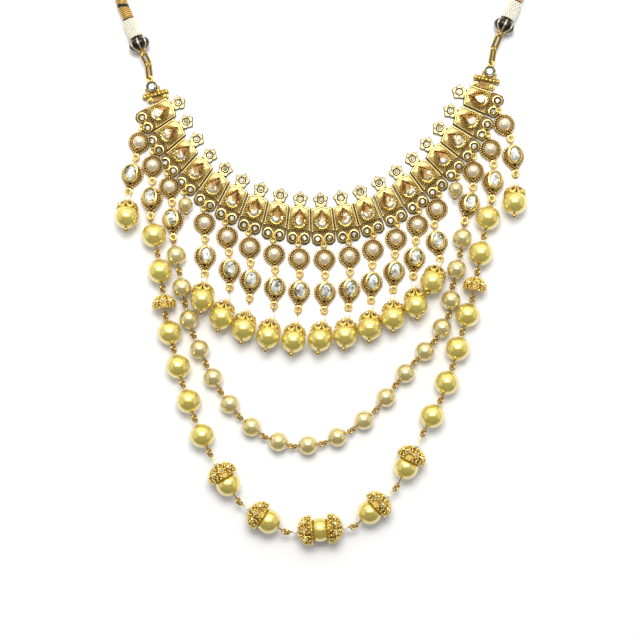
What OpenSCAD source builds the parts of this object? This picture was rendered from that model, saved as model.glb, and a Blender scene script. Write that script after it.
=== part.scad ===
// A kundan collar necklace laid flat: jewelled panels on an arc, a row of hanging
// drops, two strands of pearls below, and a wrapped cord that closes the loop.
// Millimetres. +Z is up from the surface that it lies on, +Y runs to the nape.

/* [Collar] */
// Radius of the arc through the middle of the tear stones
collar_r = 69.4; // [66:0.1:78]
// Angle from one panel to the next, in degrees
panel_step = 7.8; // [7.7:0.05:8.2]
// Gap between neighbouring panels
panel_gap = 0.5; // [0.4:0.05:0.9]
// Thickness of a panel's plate
plate_t = 1.6; // [1.2:0.1:2.4]
// Distance from the tear stone's middle to the shoulders of the plate
shoulder_y = 4.9; // [4.6:0.1:5.4]
// Rise of the gable above the shoulders
gable_h = 1.1; // [0.6:0.1:1.4]
// Distance from the tear stone's middle to the flower's middle
flower_y = 8.4; // [8:0.1:9.4]
// Distance from the flower's middle to the middle of a petal
petal_reach = 1.6; // [1.2:0.1:1.9]
// Radius of a flower's petal
petal_r = 1.2; // [0.9:0.1:1.4]
// Radius of the two round collets below each tear stone
collet_r = 1.7; // [1.4:0.1:1.9]
// Sideways distance from the panel's middle to a collet
collet_x = 2.4; // [2.1:0.1:2.6]
// Distance from the tear stone's middle to the collets
collet_y = 7.4; // [7:0.1:8]

/* [Tear settings] */
// Radius of the tear stone's round end
tear_r = 2.4; // [2:0.1:2.6]
// Length of the tear stone
tear_len = 6.8; // [6:0.1:7.2]
// Radius of the milled rim round the tear stone
tear_rim_r = 3.7; // [3.4:0.1:3.9]
// Length of the milled rim round the tear stone
tear_rim_len = 8.8; // [8.4:0.1:9.2]
// Height of the milled rim above the plate
tear_rim_h = 0.8; // [0.4:0.1:1.4]
// Height of the bezel above the plate
tear_bezel_h = 1.6; // [1.2:0.1:2.2]

/* [Drop settings] */
// Radius of the milled rim of the drops
drop_r = 4.15; // [3.8:0.05:4.2]
// Depth of the milled teeth
tooth = 0.3; // [0.15:0.05:0.4]
// Thickness of the drops' base
base_t = 1.1; // [0.8:0.1:1.6]
// Height of the drops' milled rim
drop_rim_h = 2.3; // [1.8:0.1:2.8]
// Width of the drops' milled rim
drop_rim_w = 1.1; // [0.8:0.1:1.3]
// Distance from a half pearl's middle to its lower loop
pearl_tail = 6.4; // [6.2:0.1:7]
// Distance from an oval stone's middle to its lower loop
oval_tail = 7.4; // [7:0.1:8]
// Radius of a drop's lower loop, to the middle of its wire
tail_loop_r = 1.3; // [1.2:0.05:1.4]
// Radius of the half pearls
half_pearl_r = 2.55; // [2.2:0.05:2.7]
// Width of the oval stones
oval_w = 4.1; // [3.6:0.1:4.4]
// Length of the oval stones
oval_len = 5.7; // [5:0.1:6]
// Wall of the oval stones' tall bezel
oval_wall = 0.8; // [0.5:0.1:0.9]
// Height of the oval stones' bezel
oval_h = 3.6; // [3:0.1:4.2]
// Lean of the oval bezel, in degrees
oval_lean = 10; // [0:1:10]

/* [Pearls and caps] */
// Diameter of the large pearls
large_d = 10; // [9:0.1:10.2]
// Diameter of the small pearls
small_d = 8; // [7:0.1:8.2]
// Diameter of the two lone end pearls
lone_d = 6; // [5:0.1:6.4]
// Bore through every pearl and cap
bore_d = 1; // [0.9:0.05:1.3]
// Radius of a drop's petal cap
drop_cap_r = 4.3; // [4:0.1:4.4]
// Height of a drop's petal cap
drop_cap_h = 3.5; // [3:0.1:3.8]
// Radius of the strand's filigree caps
strand_cap_r = 6; // [5.4:0.1:6.1]
// Height of the strand's filigree caps
strand_cap_h = 5.4; // [4.6:0.1:5.6]
// Radius of the two empty dome caps
dome_r = 4.9; // [4.4:0.1:5]
// Height of the two empty dome caps
dome_h = 4.8; // [4:0.1:5.4]
// Wall of the empty dome caps
dome_wall = 0.6; // [0.4:0.05:0.8]
// Radius of the ball at the end of a head pin
end_ball_r = 0.95; // [0.7:0.05:1.1]

/* [Wire] */
// Diameter of the loops' wire
wire_d = 0.55; // [0.5:0.05:0.6]
// Diameter of the pins through the pearls
pin_d = 0.45; // [0.4:0.05:0.5]
// Play between two loops that hang in each other
loop_play = 0.3; // [0.25:0.05:0.35]
// Radius of a loop, to the middle of its wire
loop_r = 1; // [0.95:0.05:1.05]
// Clearance between pieces
clearance = 0.15; // [0.1:0.05:0.2]

/* [Neck ends] */
// Length of the granulated end bar
bar_len = 10.6; // [9:0.1:12]
// Width of the granulated end bar
bar_w = 1.8; // [1.4:0.1:2.2]
// Thickness of the end bar and its triangle
bar_t = 1.8; // [1.4:0.1:2.2]
// Radius of the round stone on the end piece
end_stone_r = 2.1; // [1.8:0.1:2.3]
// Length of the left end's lower link, from joint to joint
left_low_link = 5.5; // [5:0.1:6]
// Length of the left end's upper link, from joint to joint
left_high_link = 4.5; // [4.3:0.1:5]
// Length of the right end's lower link, from joint to joint
right_low_link = 5.7; // [5.2:0.1:6]
// Length of the right end's upper link, from joint to joint
right_high_link = 5.7; // [5.2:0.1:6]
// Radius of the lobed melon cap
melon_r = 4.2; // [3.6:0.1:4.5]
// Length of the melon cap
melon_len = 5.6; // [5.2:0.1:6]
// Number of lobes of the melon cap
melon_lobes = 10; // [8:1:12]
// Radius of the seed-bead sleeve
sleeve_r = 3.1; // [2.8:0.1:3.4]
// Length of the seed-bead sleeve
sleeve_len = 7.5; // [7:0.1:8]

/* [Cord] */
// Diameter of the wrapped cord
cord_d = 4.8; // [4:0.1:5]
// Length of the slide bead that closes the cord
slide_len = 11; // [8:0.5:12]
// Wall of the slide bead
slide_wall = 1.4; // [1:0.1:2]

/* [Hidden] */
panel_count = 19;
middle_panel = 10;
collar_mid = [-1.07, 90.4];
first_lean = 1.3;
loose_from = 12;
loose_step = 0.3;
turn_step = 7.2;
turn_lean = 4.5;
pushed_in = 2.4;
round_fn = 48;
outline_n = 12;
facets = 12;
origin_shift = [0.13, 0.34, 0];

// The height of every loop that lies flat at the collar and in the drops
joint_z = loop_r + wire_d / 2 + clearance;
large_z = large_d / 2;
capped_z = large_z + 1;
small_z = small_d / 2;

// Each hanging drop, as: panel, swing of the pearl setting, swing of the oval
// setting, side that the oval leans to, swing of the pin, and the pin's extra length
DROP_PANEL = 0;
SWING_PEARL = 1;
SWING_OVAL = 2;
LEAN_SIDE = 3;
SWING_PIN = 4;
PIN_EXTRA = 5;
DROPS = [
    [1, -12, -12, 1, 0, -0.8],
    [5, 3, -1, -1, -4, -0.7],
    [6, 7, 1, -1, -15, 1.3],
    [7, 4, -2, -1, -11, 1.5],
    [8, 4, -2, -1, -11, 1.5],
    [9, 3, -3, -1, -9, 1.5],
    [10, 3, -2, -1, -9, 0.6],
    [11, 2, -3, -1, -7, 0.3],
    [12, -2, -2, -1, -4, 0],
    [13, -4, -3, -1, -1, 0.2],
    [14, -6, -4, -1, 4, 0.8],
    [15, -9, 10, -1, -23, -1.2],
    [19, 24, 7, -1, -5, 0.8]
];
// The four drops that carry a strand, in the same columns
STRAND_DROPS = [
    [2, -1, -2, 1],
    [3, 10, 2, 1],
    [17, -1, -15, -1],
    [18, 12, -5, -1]
];
ALL_DROPS = concat(DROPS, STRAND_DROPS);
// The two lone pearls, as: panel, swing of the pin
LONE_DROPS = [[4, 8], [16, -9]];

// Joints of the inner strand, from the third panel round to the seventeenth
INNER_ROUTE = [
    [-58, 0, 4.9], [-55.8, -13.2, 4], [-52.3, -25.9, 4], [-47.2, -37.8, 4],
    [-41.2, -49.1, 4], [-33.5, -59.5, 4], [-23.4, -67.7, 4], [-11.6, -71.7, 4],
    [0.8, -70.5, 4], [12.6, -65.1, 4], [22.5, -56.7, 4], [30.6, -46.4, 4],
    [38.4, -37, 4], [46.6, -28.4, 4], [52.4, -17.8, 4], [54, -5.6, 4],
    [57, 7.4, 4.9]
];
// Joints of the outer strand, from the second panel round to the eighteenth
OUTER_ROUTE = [
    [-66.8, 7.4, 6.1], [-64.8, -7.2, 5], [-63.6, -18.3, 5], [-60.3, -31.8, 5],
    [-56.6, -46.1, 5], [-51.7, -60.1, 5.3], [-45.5, -74.2, 6.3],
    [-33.6, -94.2, 6.3], [-14.4, -106.6, 6.3], [13.7, -104.2, 6.3],
    [30.8, -88.2, 6.3], [41.8, -65.8, 6.3], [49, -52.4, 5.2], [53.9, -38.7, 5],
    [57.9, -24.6, 5], [62, -11.1, 5], [64, 0, 5], [66.6, 14.7, 6.1]
];
// What each unit of the outer strand carries, in order
PEARL = 0;
DOME = 1;
CAP_FIRST = 2;
CAP_LAST = 3;
CAP_BOTH = 4;
OUTER_KINDS = [
    PEARL, PEARL, DOME, PEARL, PEARL, PEARL, PEARL, CAP_FIRST, CAP_FIRST, CAP_BOTH,
    CAP_LAST, CAP_LAST, PEARL, PEARL, PEARL, PEARL, DOME, PEARL, PEARL
];
// Points along the middle of the cord, from the left sleeve round to the right one
CORD_ROUTE = [
    [-81.6, 110, 2.9], [-83, 116, 2.6], [-84.8, 124, 2.6],
    [-86.6, 134, 2.6], [-87.6, 147, 2.6], [-85.6, 160, 2.6], [-80.2, 172.5, 2.6],
    [-72, 183, 2.6], [-61, 192, 2.6], [-48.5, 199, 2.6], [-35, 203.6, 2.7],
    [-22, 206.2, 3.3], [-11, 207, 4], [-5, 207, 4], [5, 207, 4], [11, 207, 4],
    [22, 206.2, 3.3], [35, 203.6, 2.7], [49, 199, 2.6], [62, 192, 2.6],
    [73.5, 182.8, 2.6], [82.4, 171.5, 2.6], [88, 158.5, 2.6], [89.8, 145, 2.6],
    [88.4, 132, 2.6], [85.8, 123, 2.6], [82.8, 116.6, 2.9]
];

function panel_name(i) = str("collar_panel_", i < 10 ? "0" : "", i);

// How far a loop's middle lies from the joint where it meets the next loop
function seat(r) = r - wire_d / 2 - loop_play / 2;

// The collar's arc
function panel_angle(i) = first_lean + panel_step * (i - middle_panel)
    + loose_step * max(0, i - loose_from);
function arc_r(i) = let(s = sin(2 * panel_angle(i)))
    collar_r - pushed_in * s * s * (panel_angle(i) > 0 ? 1 : -0.3);
function panel_mid(i) = let(a = panel_angle(i))
    collar_mid + arc_r(i) * [sin(a), -cos(a)];
function panel_turn(i) = turn_step * (i - middle_panel) + turn_lean;
function turned(v, a) = [v.x * cos(a) - v.y * sin(a), v.x * sin(a) + v.y * cos(a)];
panel_w = 2 * collar_r * sin(panel_step / 2) - panel_gap;
function plate_half(y) = (panel_w - 2 * y * tan(turn_step / 2)) / 2;

// The loop under each panel points straight down, whichever way the panel turns
hang_y = collet_y + collet_r + 0.2;
hang_side = 2.3;
hang_down = 1.1;
function hang_local(i) = let(t = panel_turn(i))
    [-hang_side * sin(t), -hang_y - hang_down * cos(t)];
function hang_joint(i) = let(p = panel_mid(i) + turned(hang_local(i), panel_turn(i)))
    [p.x, p.y, joint_z];

// The chain of one drop: each joint follows from the one above and the swing
function down(swing) = [sin(swing), -cos(swing), 0];
pearl_mid_x = drop_r + seat(loop_r) + 0.75;
pearl_len = pearl_mid_x + pearl_tail + seat(tail_loop_r);
oval_mid_x = drop_r + seat(loop_r) + 1.6;
oval_total = oval_mid_x + oval_tail + seat(tail_loop_r);
pin_to_pearl = large_d / 2 + drop_cap_h + loop_r + 2;
function pearl_joint(d) = hang_joint(d[DROP_PANEL]) + pearl_len * down(d[SWING_PEARL]);
function oval_joint(d) = pearl_joint(d) + oval_total * down(d[SWING_OVAL]);
function lifted_joint(d, rise) = pearl_joint(d) + [0, 0, rise]
    + sqrt(oval_total * oval_total - rise * rise) * down(d[SWING_OVAL]);
lone_pin = lone_d / 2 + loop_r + 1.2;

inner_rise = small_z - joint_z - 0.8;
outer_rise = large_z - joint_z - 1;
inner_joints = concat([lifted_joint(STRAND_DROPS[1], inner_rise)], INNER_ROUTE,
    [lifted_joint(STRAND_DROPS[2], inner_rise)]);
outer_joints = concat([lifted_joint(STRAND_DROPS[0], outer_rise)], OUTER_ROUTE,
    [lifted_joint(STRAND_DROPS[3], outer_rise)]);

// A big circle and a small one along +X, joined by their common tangents. The share
// s runs from the big circle's far side, at 0, to the small circle's tip, at 1
function tail_point(s, r, q, d) =
    let(a = acos((r - q) / d),
        big = r * (180 - a) * PI / 180,
        run = sqrt(d * d - (r - q) * (r - q)),
        small = q * a * PI / 180,
        at = s * (big + run + small))
    at < big
        ? let(t = 180 - at / r * 180 / PI) r * [cos(t), sin(t)]
        : at < big + run
            ? let(f = (at - big) / run)
                (1 - f) * r * [cos(a), sin(a)] + f * ([d, 0] + q * [cos(a), sin(a)])
            : let(t = a - (at - big - run) / q * 180 / PI) [d, 0] + q * [cos(t), sin(t)];
function tail_outline(r, q, d, n) = concat(
    [for (i = [0:n]) tail_point(i / n, r, q, d)],
    [for (i = [n - 1:-1:1]) let(p = tail_point(i / n, r, q, d)) [p.x, -p.y]]);
// The same outline with every other point set back, as milled teeth
function milled_outline(r, q, d, n, depth) = concat(
    [for (i = [0:n]) let(k = depth * (i % 2)) tail_point(i / n, r - k, q - k, d)],
    [for (i = [n - 1:-1:1]) let(k = depth * (i % 2), p = tail_point(i / n, r - k, q - k, d))
        [p.x, -p.y]]);
function ellipse_outline(a, b, n) = [for (i = [0:n - 1]) [a * cos(360 * i / n), b * sin(360 * i / n)]];
function scaled(points, k, mid) = [for (p = points) mid + k * (p - mid)];

// A closed solid through outlines of equal count, one above the other
module stack(outlines, heights) {
    n = len(outlines[0]);
    m = len(outlines);
    points = [for (j = [0:m - 1]) for (p = outlines[j]) [p.x, p.y, heights[j]]];
    sides = [for (j = [0:m - 2]) for (i = [0:n - 1])
        [j * n + i, (j + 1) * n + i, (j + 1) * n + (i + 1) % n, j * n + (i + 1) % n]];
    polyhedron(points, concat(sides,
        [[for (i = [0:n - 1]) i]],
        [[for (i = [n - 1:-1:0]) (m - 1) * n + i]]));
}

// Carries its children so that their +X runs from p to q and their +Z stays upward
module from_to(p, q) {
    d = q - p;
    translate(p) rotate([0, -asin(d.z / norm(d)), atan2(d.y, d.x)]) children();
}

module ring(r, wire) {
    rotate_extrude($fn = round_fn) translate([r, 0]) circle(d = wire, $fn = 24);
}
module upright_ring(r, wire) {
    rotate([90, 0, 0]) ring(r, wire);
}
module along_x() {
    rotate([0, 90, 0]) children();
}

module on_panel(i) {
    m = panel_mid(i);
    translate([m.x, m.y, 0]) rotate([0, 0, panel_turn(i)]) children();
}

// The tear outline in panel coordinates: round end outward, point to the flower
tear_mid_y = tear_rim_r - tear_rim_len / 2;
tear_tip = 0.15;
rim_tip = 0.35;
tear_d = tear_len - tear_r - tear_tip;
rim_d = tear_rim_len - tear_rim_r - rim_tip;
module tear_frame() {
    translate([0, tear_mid_y, 0]) rotate([0, 0, 90]) children();
}
bezel_wall = 0.45;
tear_teeth = 22;
stone_floor = plate_t + 0.5;
small_stone_r = 1.15;
web_w = 2.6;
arm_t = 0.4;
arm_w = 1.4;
neck_w = 0.9;
tail_d = 3;

module petal_flower() {
    for (k = [0:4])
        rotate([0, 0, 90 + 72 * k]) translate([petal_reach, 0, 0])
            cylinder(r = petal_r, h = plate_t, $fn = round_fn);
    cylinder(r = petal_reach, h = plate_t + 0.2, $fn = round_fn);
}
collet_h = plate_t + 0.7;
module collar_panel(i) {
    hang = hang_local(i) + turned([0, seat(loop_r)], -panel_turn(i));
    low_y = -4.1;
    color("khaki") on_panel(i) difference() {
        union() {
            linear_extrude(plate_t) polygon([
                [-plate_half(low_y), low_y],
                [-collet_x - 0.6, -collet_y + 0.4],
                [-web_w / 2, -collet_y - collet_r + 0.3],
                [web_w / 2, -collet_y - collet_r + 0.3],
                [collet_x + 0.6, -collet_y + 0.4],
                [plate_half(low_y), low_y],
                [plate_half(shoulder_y), shoulder_y],
                [1, shoulder_y + gable_h],
                [1, flower_y - petal_reach],
                [-1, flower_y - petal_reach],
                [-1, shoulder_y + gable_h],
                [-plate_half(shoulder_y), shoulder_y]]);
            translate([0, flower_y, 0]) petal_flower();
            for (side = [-1, 1])
                translate([side * collet_x, -collet_y, 0])
                    cylinder(r = collet_r, h = collet_h, $fn = round_fn);
            tear_frame() translate([0, 0, 0.3]) {
                linear_extrude(plate_t + tear_rim_h - 0.3)
                    polygon(milled_outline(tear_rim_r, rim_tip, rim_d, tear_teeth, tooth));
                linear_extrude(plate_t + tear_bezel_h - 0.3)
                    polygon(tail_outline(tear_r + bezel_wall, tear_tip + bezel_wall, tear_d, outline_n));
            }
            translate([hang.x, hang.y, joint_z]) ring(loop_r, wire_d);
            arm = [0, -collet_y];
            translate([0, 0, joint_z - arm_t / 2]) linear_extrude(arm_t)
                polygon([arm + [-0.5, 0], arm + [0.5, 0],
                    hang + [0.45, loop_r - 0.1], hang + [-0.45, loop_r - 0.1]]);
        }
        tear_frame() translate([0, 0, stone_floor]) linear_extrude(4)
            polygon(tail_outline(tear_r + clearance, tear_tip + clearance, tear_d, outline_n));
        translate([0, flower_y, plate_t - 0.5])
            cylinder(r = small_stone_r, h = 2, $fn = round_fn);
        for (side = [-1, 1])
            translate([side * collet_x, -collet_y, collet_h - 0.7])
                cylinder(r = small_stone_r, h = 2, $fn = round_fn);
    }
}

// Where the ends of the collar turn down, a panel gives way to the next drop's setting
crowded = 5;
module laid_panel(i) {
    if (abs(i - middle_panel) < panel_count / 2 - crowded + 0.6) collar_panel(i);
    else color("khaki") difference() {
        collar_panel(i);
        for (d = ALL_DROPS)
            if (abs(d[DROP_PANEL] - i) == 1)
                at_pearl_setting(d) translate([pearl_mid_x, 0, -1])
                    cylinder(r = drop_r + clearance, h = 8, $fn = round_fn);
    }
}

// Cut stones: a girdle, a flat table above and a flat foil back below
stone_low = stone_floor + clearance;
stone_girdle = plate_t + tear_bezel_h - 0.4;
stone_table = plate_t + tear_bezel_h + 0.5;
module tear_stones() {
    around = tail_outline(tear_r, tear_tip, tear_d, facets / 2 + 2);
    edge = [for (i = [len(around) - 1:-1:0]) around[i]];
    mid = [0.6, 0];
    color("burlywood") for (i = [1:panel_count])
        on_panel(i) tear_frame()
            stack([scaled(edge, 0.96, mid), edge, scaled(edge, 0.84, mid), scaled(edge, 0.5, mid)],
                [stone_low, stone_girdle, stone_girdle + 0.45, stone_table]);
}

// A drop's place: +X runs down the drop from its upper joint
module at_pearl_setting(d) {
    from_to(hang_joint(d[DROP_PANEL]), pearl_joint(d)) translate([0, 0, -joint_z]) children();
}
module at_oval_setting(d, low) {
    from_to(pearl_joint(d), low) translate([0, 0, -joint_z]) children();
}
module each_oval() {
    for (d = DROPS) at_oval_setting(d, oval_joint(d)) scale_side(d) children();
    for (k = [0:3]) let(d = STRAND_DROPS[k], rise = k == 0 || k == 3 ? outer_rise : inner_rise)
        at_oval_setting(d, lifted_joint(d, rise)) scale_side(d) children();
}
module scale_side(d) {
    if (d[LEAN_SIDE] > 0) mirror([0, 1, 0]) children();
    else children();
}

tail_q = tail_loop_r + wire_d / 2;
rim_teeth = 24;
arm_len = 1.4;
module milled_base(mid_x, tail, floor_z) {
    translate([mid_x, 0, 0]) {
        difference() {
            union() {
                linear_extrude(base_t) polygon(tail_outline(drop_r - 0.2, tail_q - 0.2, tail, outline_n));
                translate([0, 0, 0.3]) linear_extrude(drop_rim_h - 0.3)
                    polygon(milled_outline(drop_r, tail_q - 0.35, tail - 2.4, rim_teeth, tooth));
            }
            translate([0, 0, floor_z]) linear_extrude(4)
                polygon(tail_outline(drop_r - drop_rim_w, 0.5, tail_d, outline_n));
            translate([tail, 0, -1]) cylinder(r = tail_q + 0.3, h = 6, $fn = round_fn);
        }
        translate([tail, 0, joint_z]) ring(tail_loop_r, wire_d);
        translate([tail - tail_q + 0.3 - arm_len, -arm_w / 2, joint_z - arm_t / 2])
            cube([arm_len, arm_w, arm_t]);
    }
    neck = seat(loop_r) + loop_r - 0.2;
    translate([neck, -neck_w / 2, joint_z - arm_t / 2])
        cube([mid_x - drop_r + drop_rim_w / 2 - neck, neck_w, arm_t]);
    translate([seat(loop_r), 0, joint_z]) upright_ring(loop_r, wire_d);
}
module pearl_settings() {
    color("goldenrod") for (d = ALL_DROPS)
        at_pearl_setting(d) milled_base(pearl_mid_x, pearl_tail, base_t);
}
module half_pearls() {
    color("mistyrose") for (d = ALL_DROPS)
        at_pearl_setting(d) translate([pearl_mid_x, 0, base_t + clearance]) intersection() {
            sphere(r = half_pearl_r, $fn = round_fn);
            translate([0, 0, half_pearl_r]) cube(2 * half_pearl_r, center = true);
        }
}

bezel_foot = 0.55;
module lean_bezel() {
    translate([oval_mid_x - 0.3, 0, bezel_foot]) rotate([-oval_lean, 0, 0]) children();
}
module oval_settings() {
    color("goldenrod") each_oval() difference() {
        union() {
            milled_base(oval_mid_x, oval_tail, drop_rim_h + 0.1);
            lean_bezel() linear_extrude(oval_h)
                polygon(ellipse_outline(oval_len / 2 + oval_wall, oval_w / 2 + oval_wall, facets));
        }
        lean_bezel() translate([0, 0, 1.4]) linear_extrude(oval_h)
            polygon(ellipse_outline(oval_len / 2 + clearance, oval_w / 2 + clearance, facets));
    }
}
module oval_stones() {
    edge = ellipse_outline(oval_len / 2, oval_w / 2, facets);
    color("white") each_oval() lean_bezel()
        stack([scaled(edge, 0.4, [0, 0]), edge, scaled(edge, 0.86, [0, 0]), scaled(edge, 0.55, [0, 0])],
            [1.4 + clearance, oval_h - 0.6, oval_h - 0.2, oval_h + 0.5]);
}

// Drilled along +X
module pearl(d) {
    along_x() difference() {
        sphere(d = d, $fn = round_fn);
        cylinder(d = bore_d, h = d + 1, center = true, $fn = 24);
    }
}

// A head pin hangs from an upright loop and ends in a ball below the pearl
module head_pin(to_pearl, pearl_d) {
    ball_x = to_pearl + pearl_d / 2 + end_ball_r + clearance;
    translate([seat(loop_r), 0, 0]) upright_ring(loop_r, wire_d);
    translate([seat(loop_r) + loop_r, 0, 0])
        along_x() cylinder(d = pin_d, h = ball_x - seat(loop_r) - loop_r, $fn = 24);
    translate([ball_x, 0, 0]) sphere(r = end_ball_r, $fn = round_fn);
}
function pin_len(d) = pin_to_pearl + d[PIN_EXTRA];
function drop_pearl_mid(d) = let(n = pin_len(d), rise = capped_z - joint_z)
    oval_joint(d) + [0, 0, rise] + sqrt(n * n - rise * rise) * down(d[SWING_PIN]);
function lone_mid(d) = let(rise = lone_d / 2 + 0.1 - joint_z)
    hang_joint(d[0]) + [0, 0, rise] + sqrt(lone_pin * lone_pin - rise * rise) * down(d[1]);
module at_pin(d) {
    from_to(oval_joint(d), drop_pearl_mid(d)) children();
}
module at_lone_pin(d) {
    from_to(hang_joint(d[0]), lone_mid(d)) children();
}
module drop_pearls() {
    color("gold") for (d = DROPS)
        at_pin(d) translate([pin_len(d), 0, 0]) pearl(large_d);
}
module lone_pearls() {
    color("gold") for (d = LONE_DROPS)
        at_lone_pin(d) translate([lone_pin, 0, 0]) pearl(lone_d);
}
module drop_pins() {
    color("darkgoldenrod") {
        for (d = DROPS) at_pin(d) head_pin(pin_len(d), large_d);
        for (d = LONE_DROPS) at_lone_pin(d) head_pin(lone_pin, lone_d);
    }
}

// A dome of revolution along -X from its rim plane, seated on a pearl behind it
cap_seat = 4;
dome_steps = 6;
function dome_profile(r, h, top) = concat([[0, 0]],
    [for (k = [0:dome_steps]) let(a = 78 * k / dome_steps) [r * cos(a), h * sin(a)]],
    [[top, h], [0, h]]);
module pearl_cap(r, h, seat_x, notch_r, notches) {
    translate([-seat_x, 0, 0]) difference() {
        rotate([0, -90, 0]) rotate_extrude($fn = round_fn)
            polygon(dome_profile(r, h, r * 0.18));
        translate([seat_x, 0, 0]) sphere(r = large_d / 2 + clearance, $fn = round_fn);
        along_x() cylinder(d = bore_d, h = 4 * h, center = true, $fn = 24);
        for (k = [0:notches - 1])
            rotate([360 * (k + 0.5) / notches, 0, 0]) translate([0, 0, r + notch_r * 0.15])
                along_x() cylinder(r = notch_r, h = h, center = true, $fn = 24);
    }
}
module drop_caps() {
    color("gold") for (d = DROPS)
        at_pin(d) translate([pin_len(d), 0, 0])
            pearl_cap(drop_cap_r, drop_cap_h, cap_seat, 0.7, 8);
}

// An eye pin runs from joint to joint with a loop at each end
module eye_pin(p, q, last) {
    n = norm(q - p);
    from_to(p, q) {
        translate([seat(loop_r), 0, 0]) upright_ring(loop_r, wire_d);
        translate([seat(loop_r) + loop_r, 0, 0]) along_x()
            cylinder(d = pin_d, h = n - 2 * (seat(loop_r) + loop_r), $fn = 24);
        translate([n - seat(loop_r), 0, 0])
            if (last) upright_ring(loop_r, wire_d);
            else ring(loop_r, wire_d);
    }
}
module strand_pins(joints) {
    n = len(joints) - 2;
    for (i = [0:n]) eye_pin(joints[i], joints[i + 1], i == n);
}
module in_unit(joints, i, share) {
    n = norm(joints[i + 1] - joints[i]);
    from_to(joints[i], joints[i + 1]) translate([share * n, 0, 0]) children();
}
module inner_strand_pearls() {
    color("khaki") for (i = [0:len(inner_joints) - 2])
        in_unit(inner_joints, i, 0.5) pearl(small_d);
}
module inner_strand_pins() {
    color("darkgoldenrod") strand_pins(inner_joints);
}

// Where the pearl sits along a unit: past the middle when its cap comes first
capped_share = 0.635;
function pearl_share(kind) = kind == CAP_FIRST ? capped_share : kind == CAP_LAST ? 1 - capped_share : 0.5;
outer_units = [for (i = [0:len(OUTER_KINDS) - 1]) i];
module outer_strand_pearls() {
    color("gold") for (i = outer_units)
        if (OUTER_KINDS[i] != DOME)
            in_unit(outer_joints, i, pearl_share(OUTER_KINDS[i])) pearl(large_d);
}
strand_seat = 3.8;
module strand_cap() {
    pearl_cap(strand_cap_r, strand_cap_h, strand_seat, 0.8, 12);
}
module outer_strand_caps() {
    color("gold") for (i = outer_units) {
        kind = OUTER_KINDS[i];
        if (kind == CAP_FIRST || kind == CAP_BOTH)
            in_unit(outer_joints, i, pearl_share(kind)) strand_cap();
        if (kind == CAP_LAST || kind == CAP_BOTH)
            in_unit(outer_joints, i, pearl_share(kind)) mirror([1, 0, 0]) strand_cap();
    }
}
module dome_cap() {
    steps = [for (k = [0:dome_steps]) 78 * k / dome_steps];
    difference() {
        rotate([0, -90, 0]) rotate_extrude($fn = round_fn) polygon(concat(
            [for (a = steps) [dome_r * cos(a), dome_h * sin(a)]],
            [[bore_d / 2, dome_h], [bore_d / 2, dome_h - dome_wall]],
            [for (k = [dome_steps:-1:0]) let(a = steps[k])
                [(dome_r - dome_wall) * cos(a), (dome_h - dome_wall) * sin(a)]]));
        for (k = [0:7])
            rotate([45 * k, 0, 0]) translate([-dome_h * 0.42, 0, 0])
                cylinder(r = 0.8, h = 2 * dome_r, $fn = 24);
    }
}
dome_share = 0.66;
module dome_caps() {
    color("gold") for (i = outer_units)
        if (OUTER_KINDS[i] == DOME) {
            first = i < len(OUTER_KINDS) / 2;
            in_unit(outer_joints, i, first ? dome_share : 1 - dome_share)
                mirror([first ? 0 : 1, 0, 0]) dome_cap();
        }
}
module outer_strand_pins() {
    color("darkgoldenrod") strand_pins(outer_joints);
}

// The end pieces stand at the outer edge of the first and the last panel
bar_gap = 3.2;
end_stone_x = -0.6;
end_stone_y = 3.2;
bar_ring_r = 0.8;
function end_turn(left) = left ? 75 : 81;
function end_at(left) = left ? [-plate_half(0) - bar_gap, 2.1] : [-plate_half(0) - bar_gap - 1.1, -0.2];
module at_end(left) {
    i = left ? 1 : panel_count;
    on_panel(i) mirror([left ? 0 : 1, 0, 0])
        translate(end_at(left)) rotate([0, 0, end_turn(left)]) children();
}
function end_joint(left) =
    let(i = left ? 1 : panel_count, side = left ? 1 : -1,
        ring_mid = end_stone_y + end_stone_r + 0.4 + loop_r,
        p = turned([end_stone_x, ring_mid + seat(loop_r)], end_turn(left)) + end_at(left),
        w = panel_mid(i) + turned([side * p.x, p.y], panel_turn(i)))
    [w.x, w.y, joint_z];
module end_piece(left) {
    color("goldenrod") at_end(left) difference() {
        union() {
            translate([-bar_len / 2, -bar_w / 2, 0]) cube([bar_len, bar_w, bar_t]);
            for (k = [0:6])
                translate([(k - 3) * (bar_len - bar_w) / 6, 0, bar_t - 0.15])
                    sphere(r = bar_w * 0.42, $fn = round_fn);
            linear_extrude(bar_t - 0.3)
                polygon([[-3.6, 0], [2.6, 0], [end_stone_x + 1.6, end_stone_y],
                    [end_stone_x - 1.6, end_stone_y]]);
            translate([end_stone_x, end_stone_y, 0])
                cylinder(r = end_stone_r + 0.4, h = bar_t + 1, $fn = round_fn);
            translate([end_stone_x, end_stone_y + end_stone_r + 0.4 + loop_r, joint_z])
                ring(loop_r, wire_d);
            for (x = [-2.6, 3.6])
                translate([x, -bar_w / 2 - bar_ring_r + 0.3, bar_ring_r + wire_d / 2 + 0.05])
                    rotate([0, 0, 90]) upright_ring(bar_ring_r, wire_d);
        }
        translate([end_stone_x, end_stone_y, bar_t - 0.1])
            cylinder(r = end_stone_r + clearance / 2, h = 3, $fn = round_fn);
    }
}
module end_stones() {
    edge = ellipse_outline(end_stone_r - 0.1, end_stone_r - 0.1, facets);
    color("white") for (left = [true, false])
        at_end(left) translate([end_stone_x, end_stone_y, 0])
            stack([scaled(edge, 0.6, [0, 0]), edge, scaled(edge, 0.86, [0, 0]), scaled(edge, 0.55, [0, 0])],
                [bar_t, bar_t + 0.7, bar_t + 1, bar_t + 1.6]);
}

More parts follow.
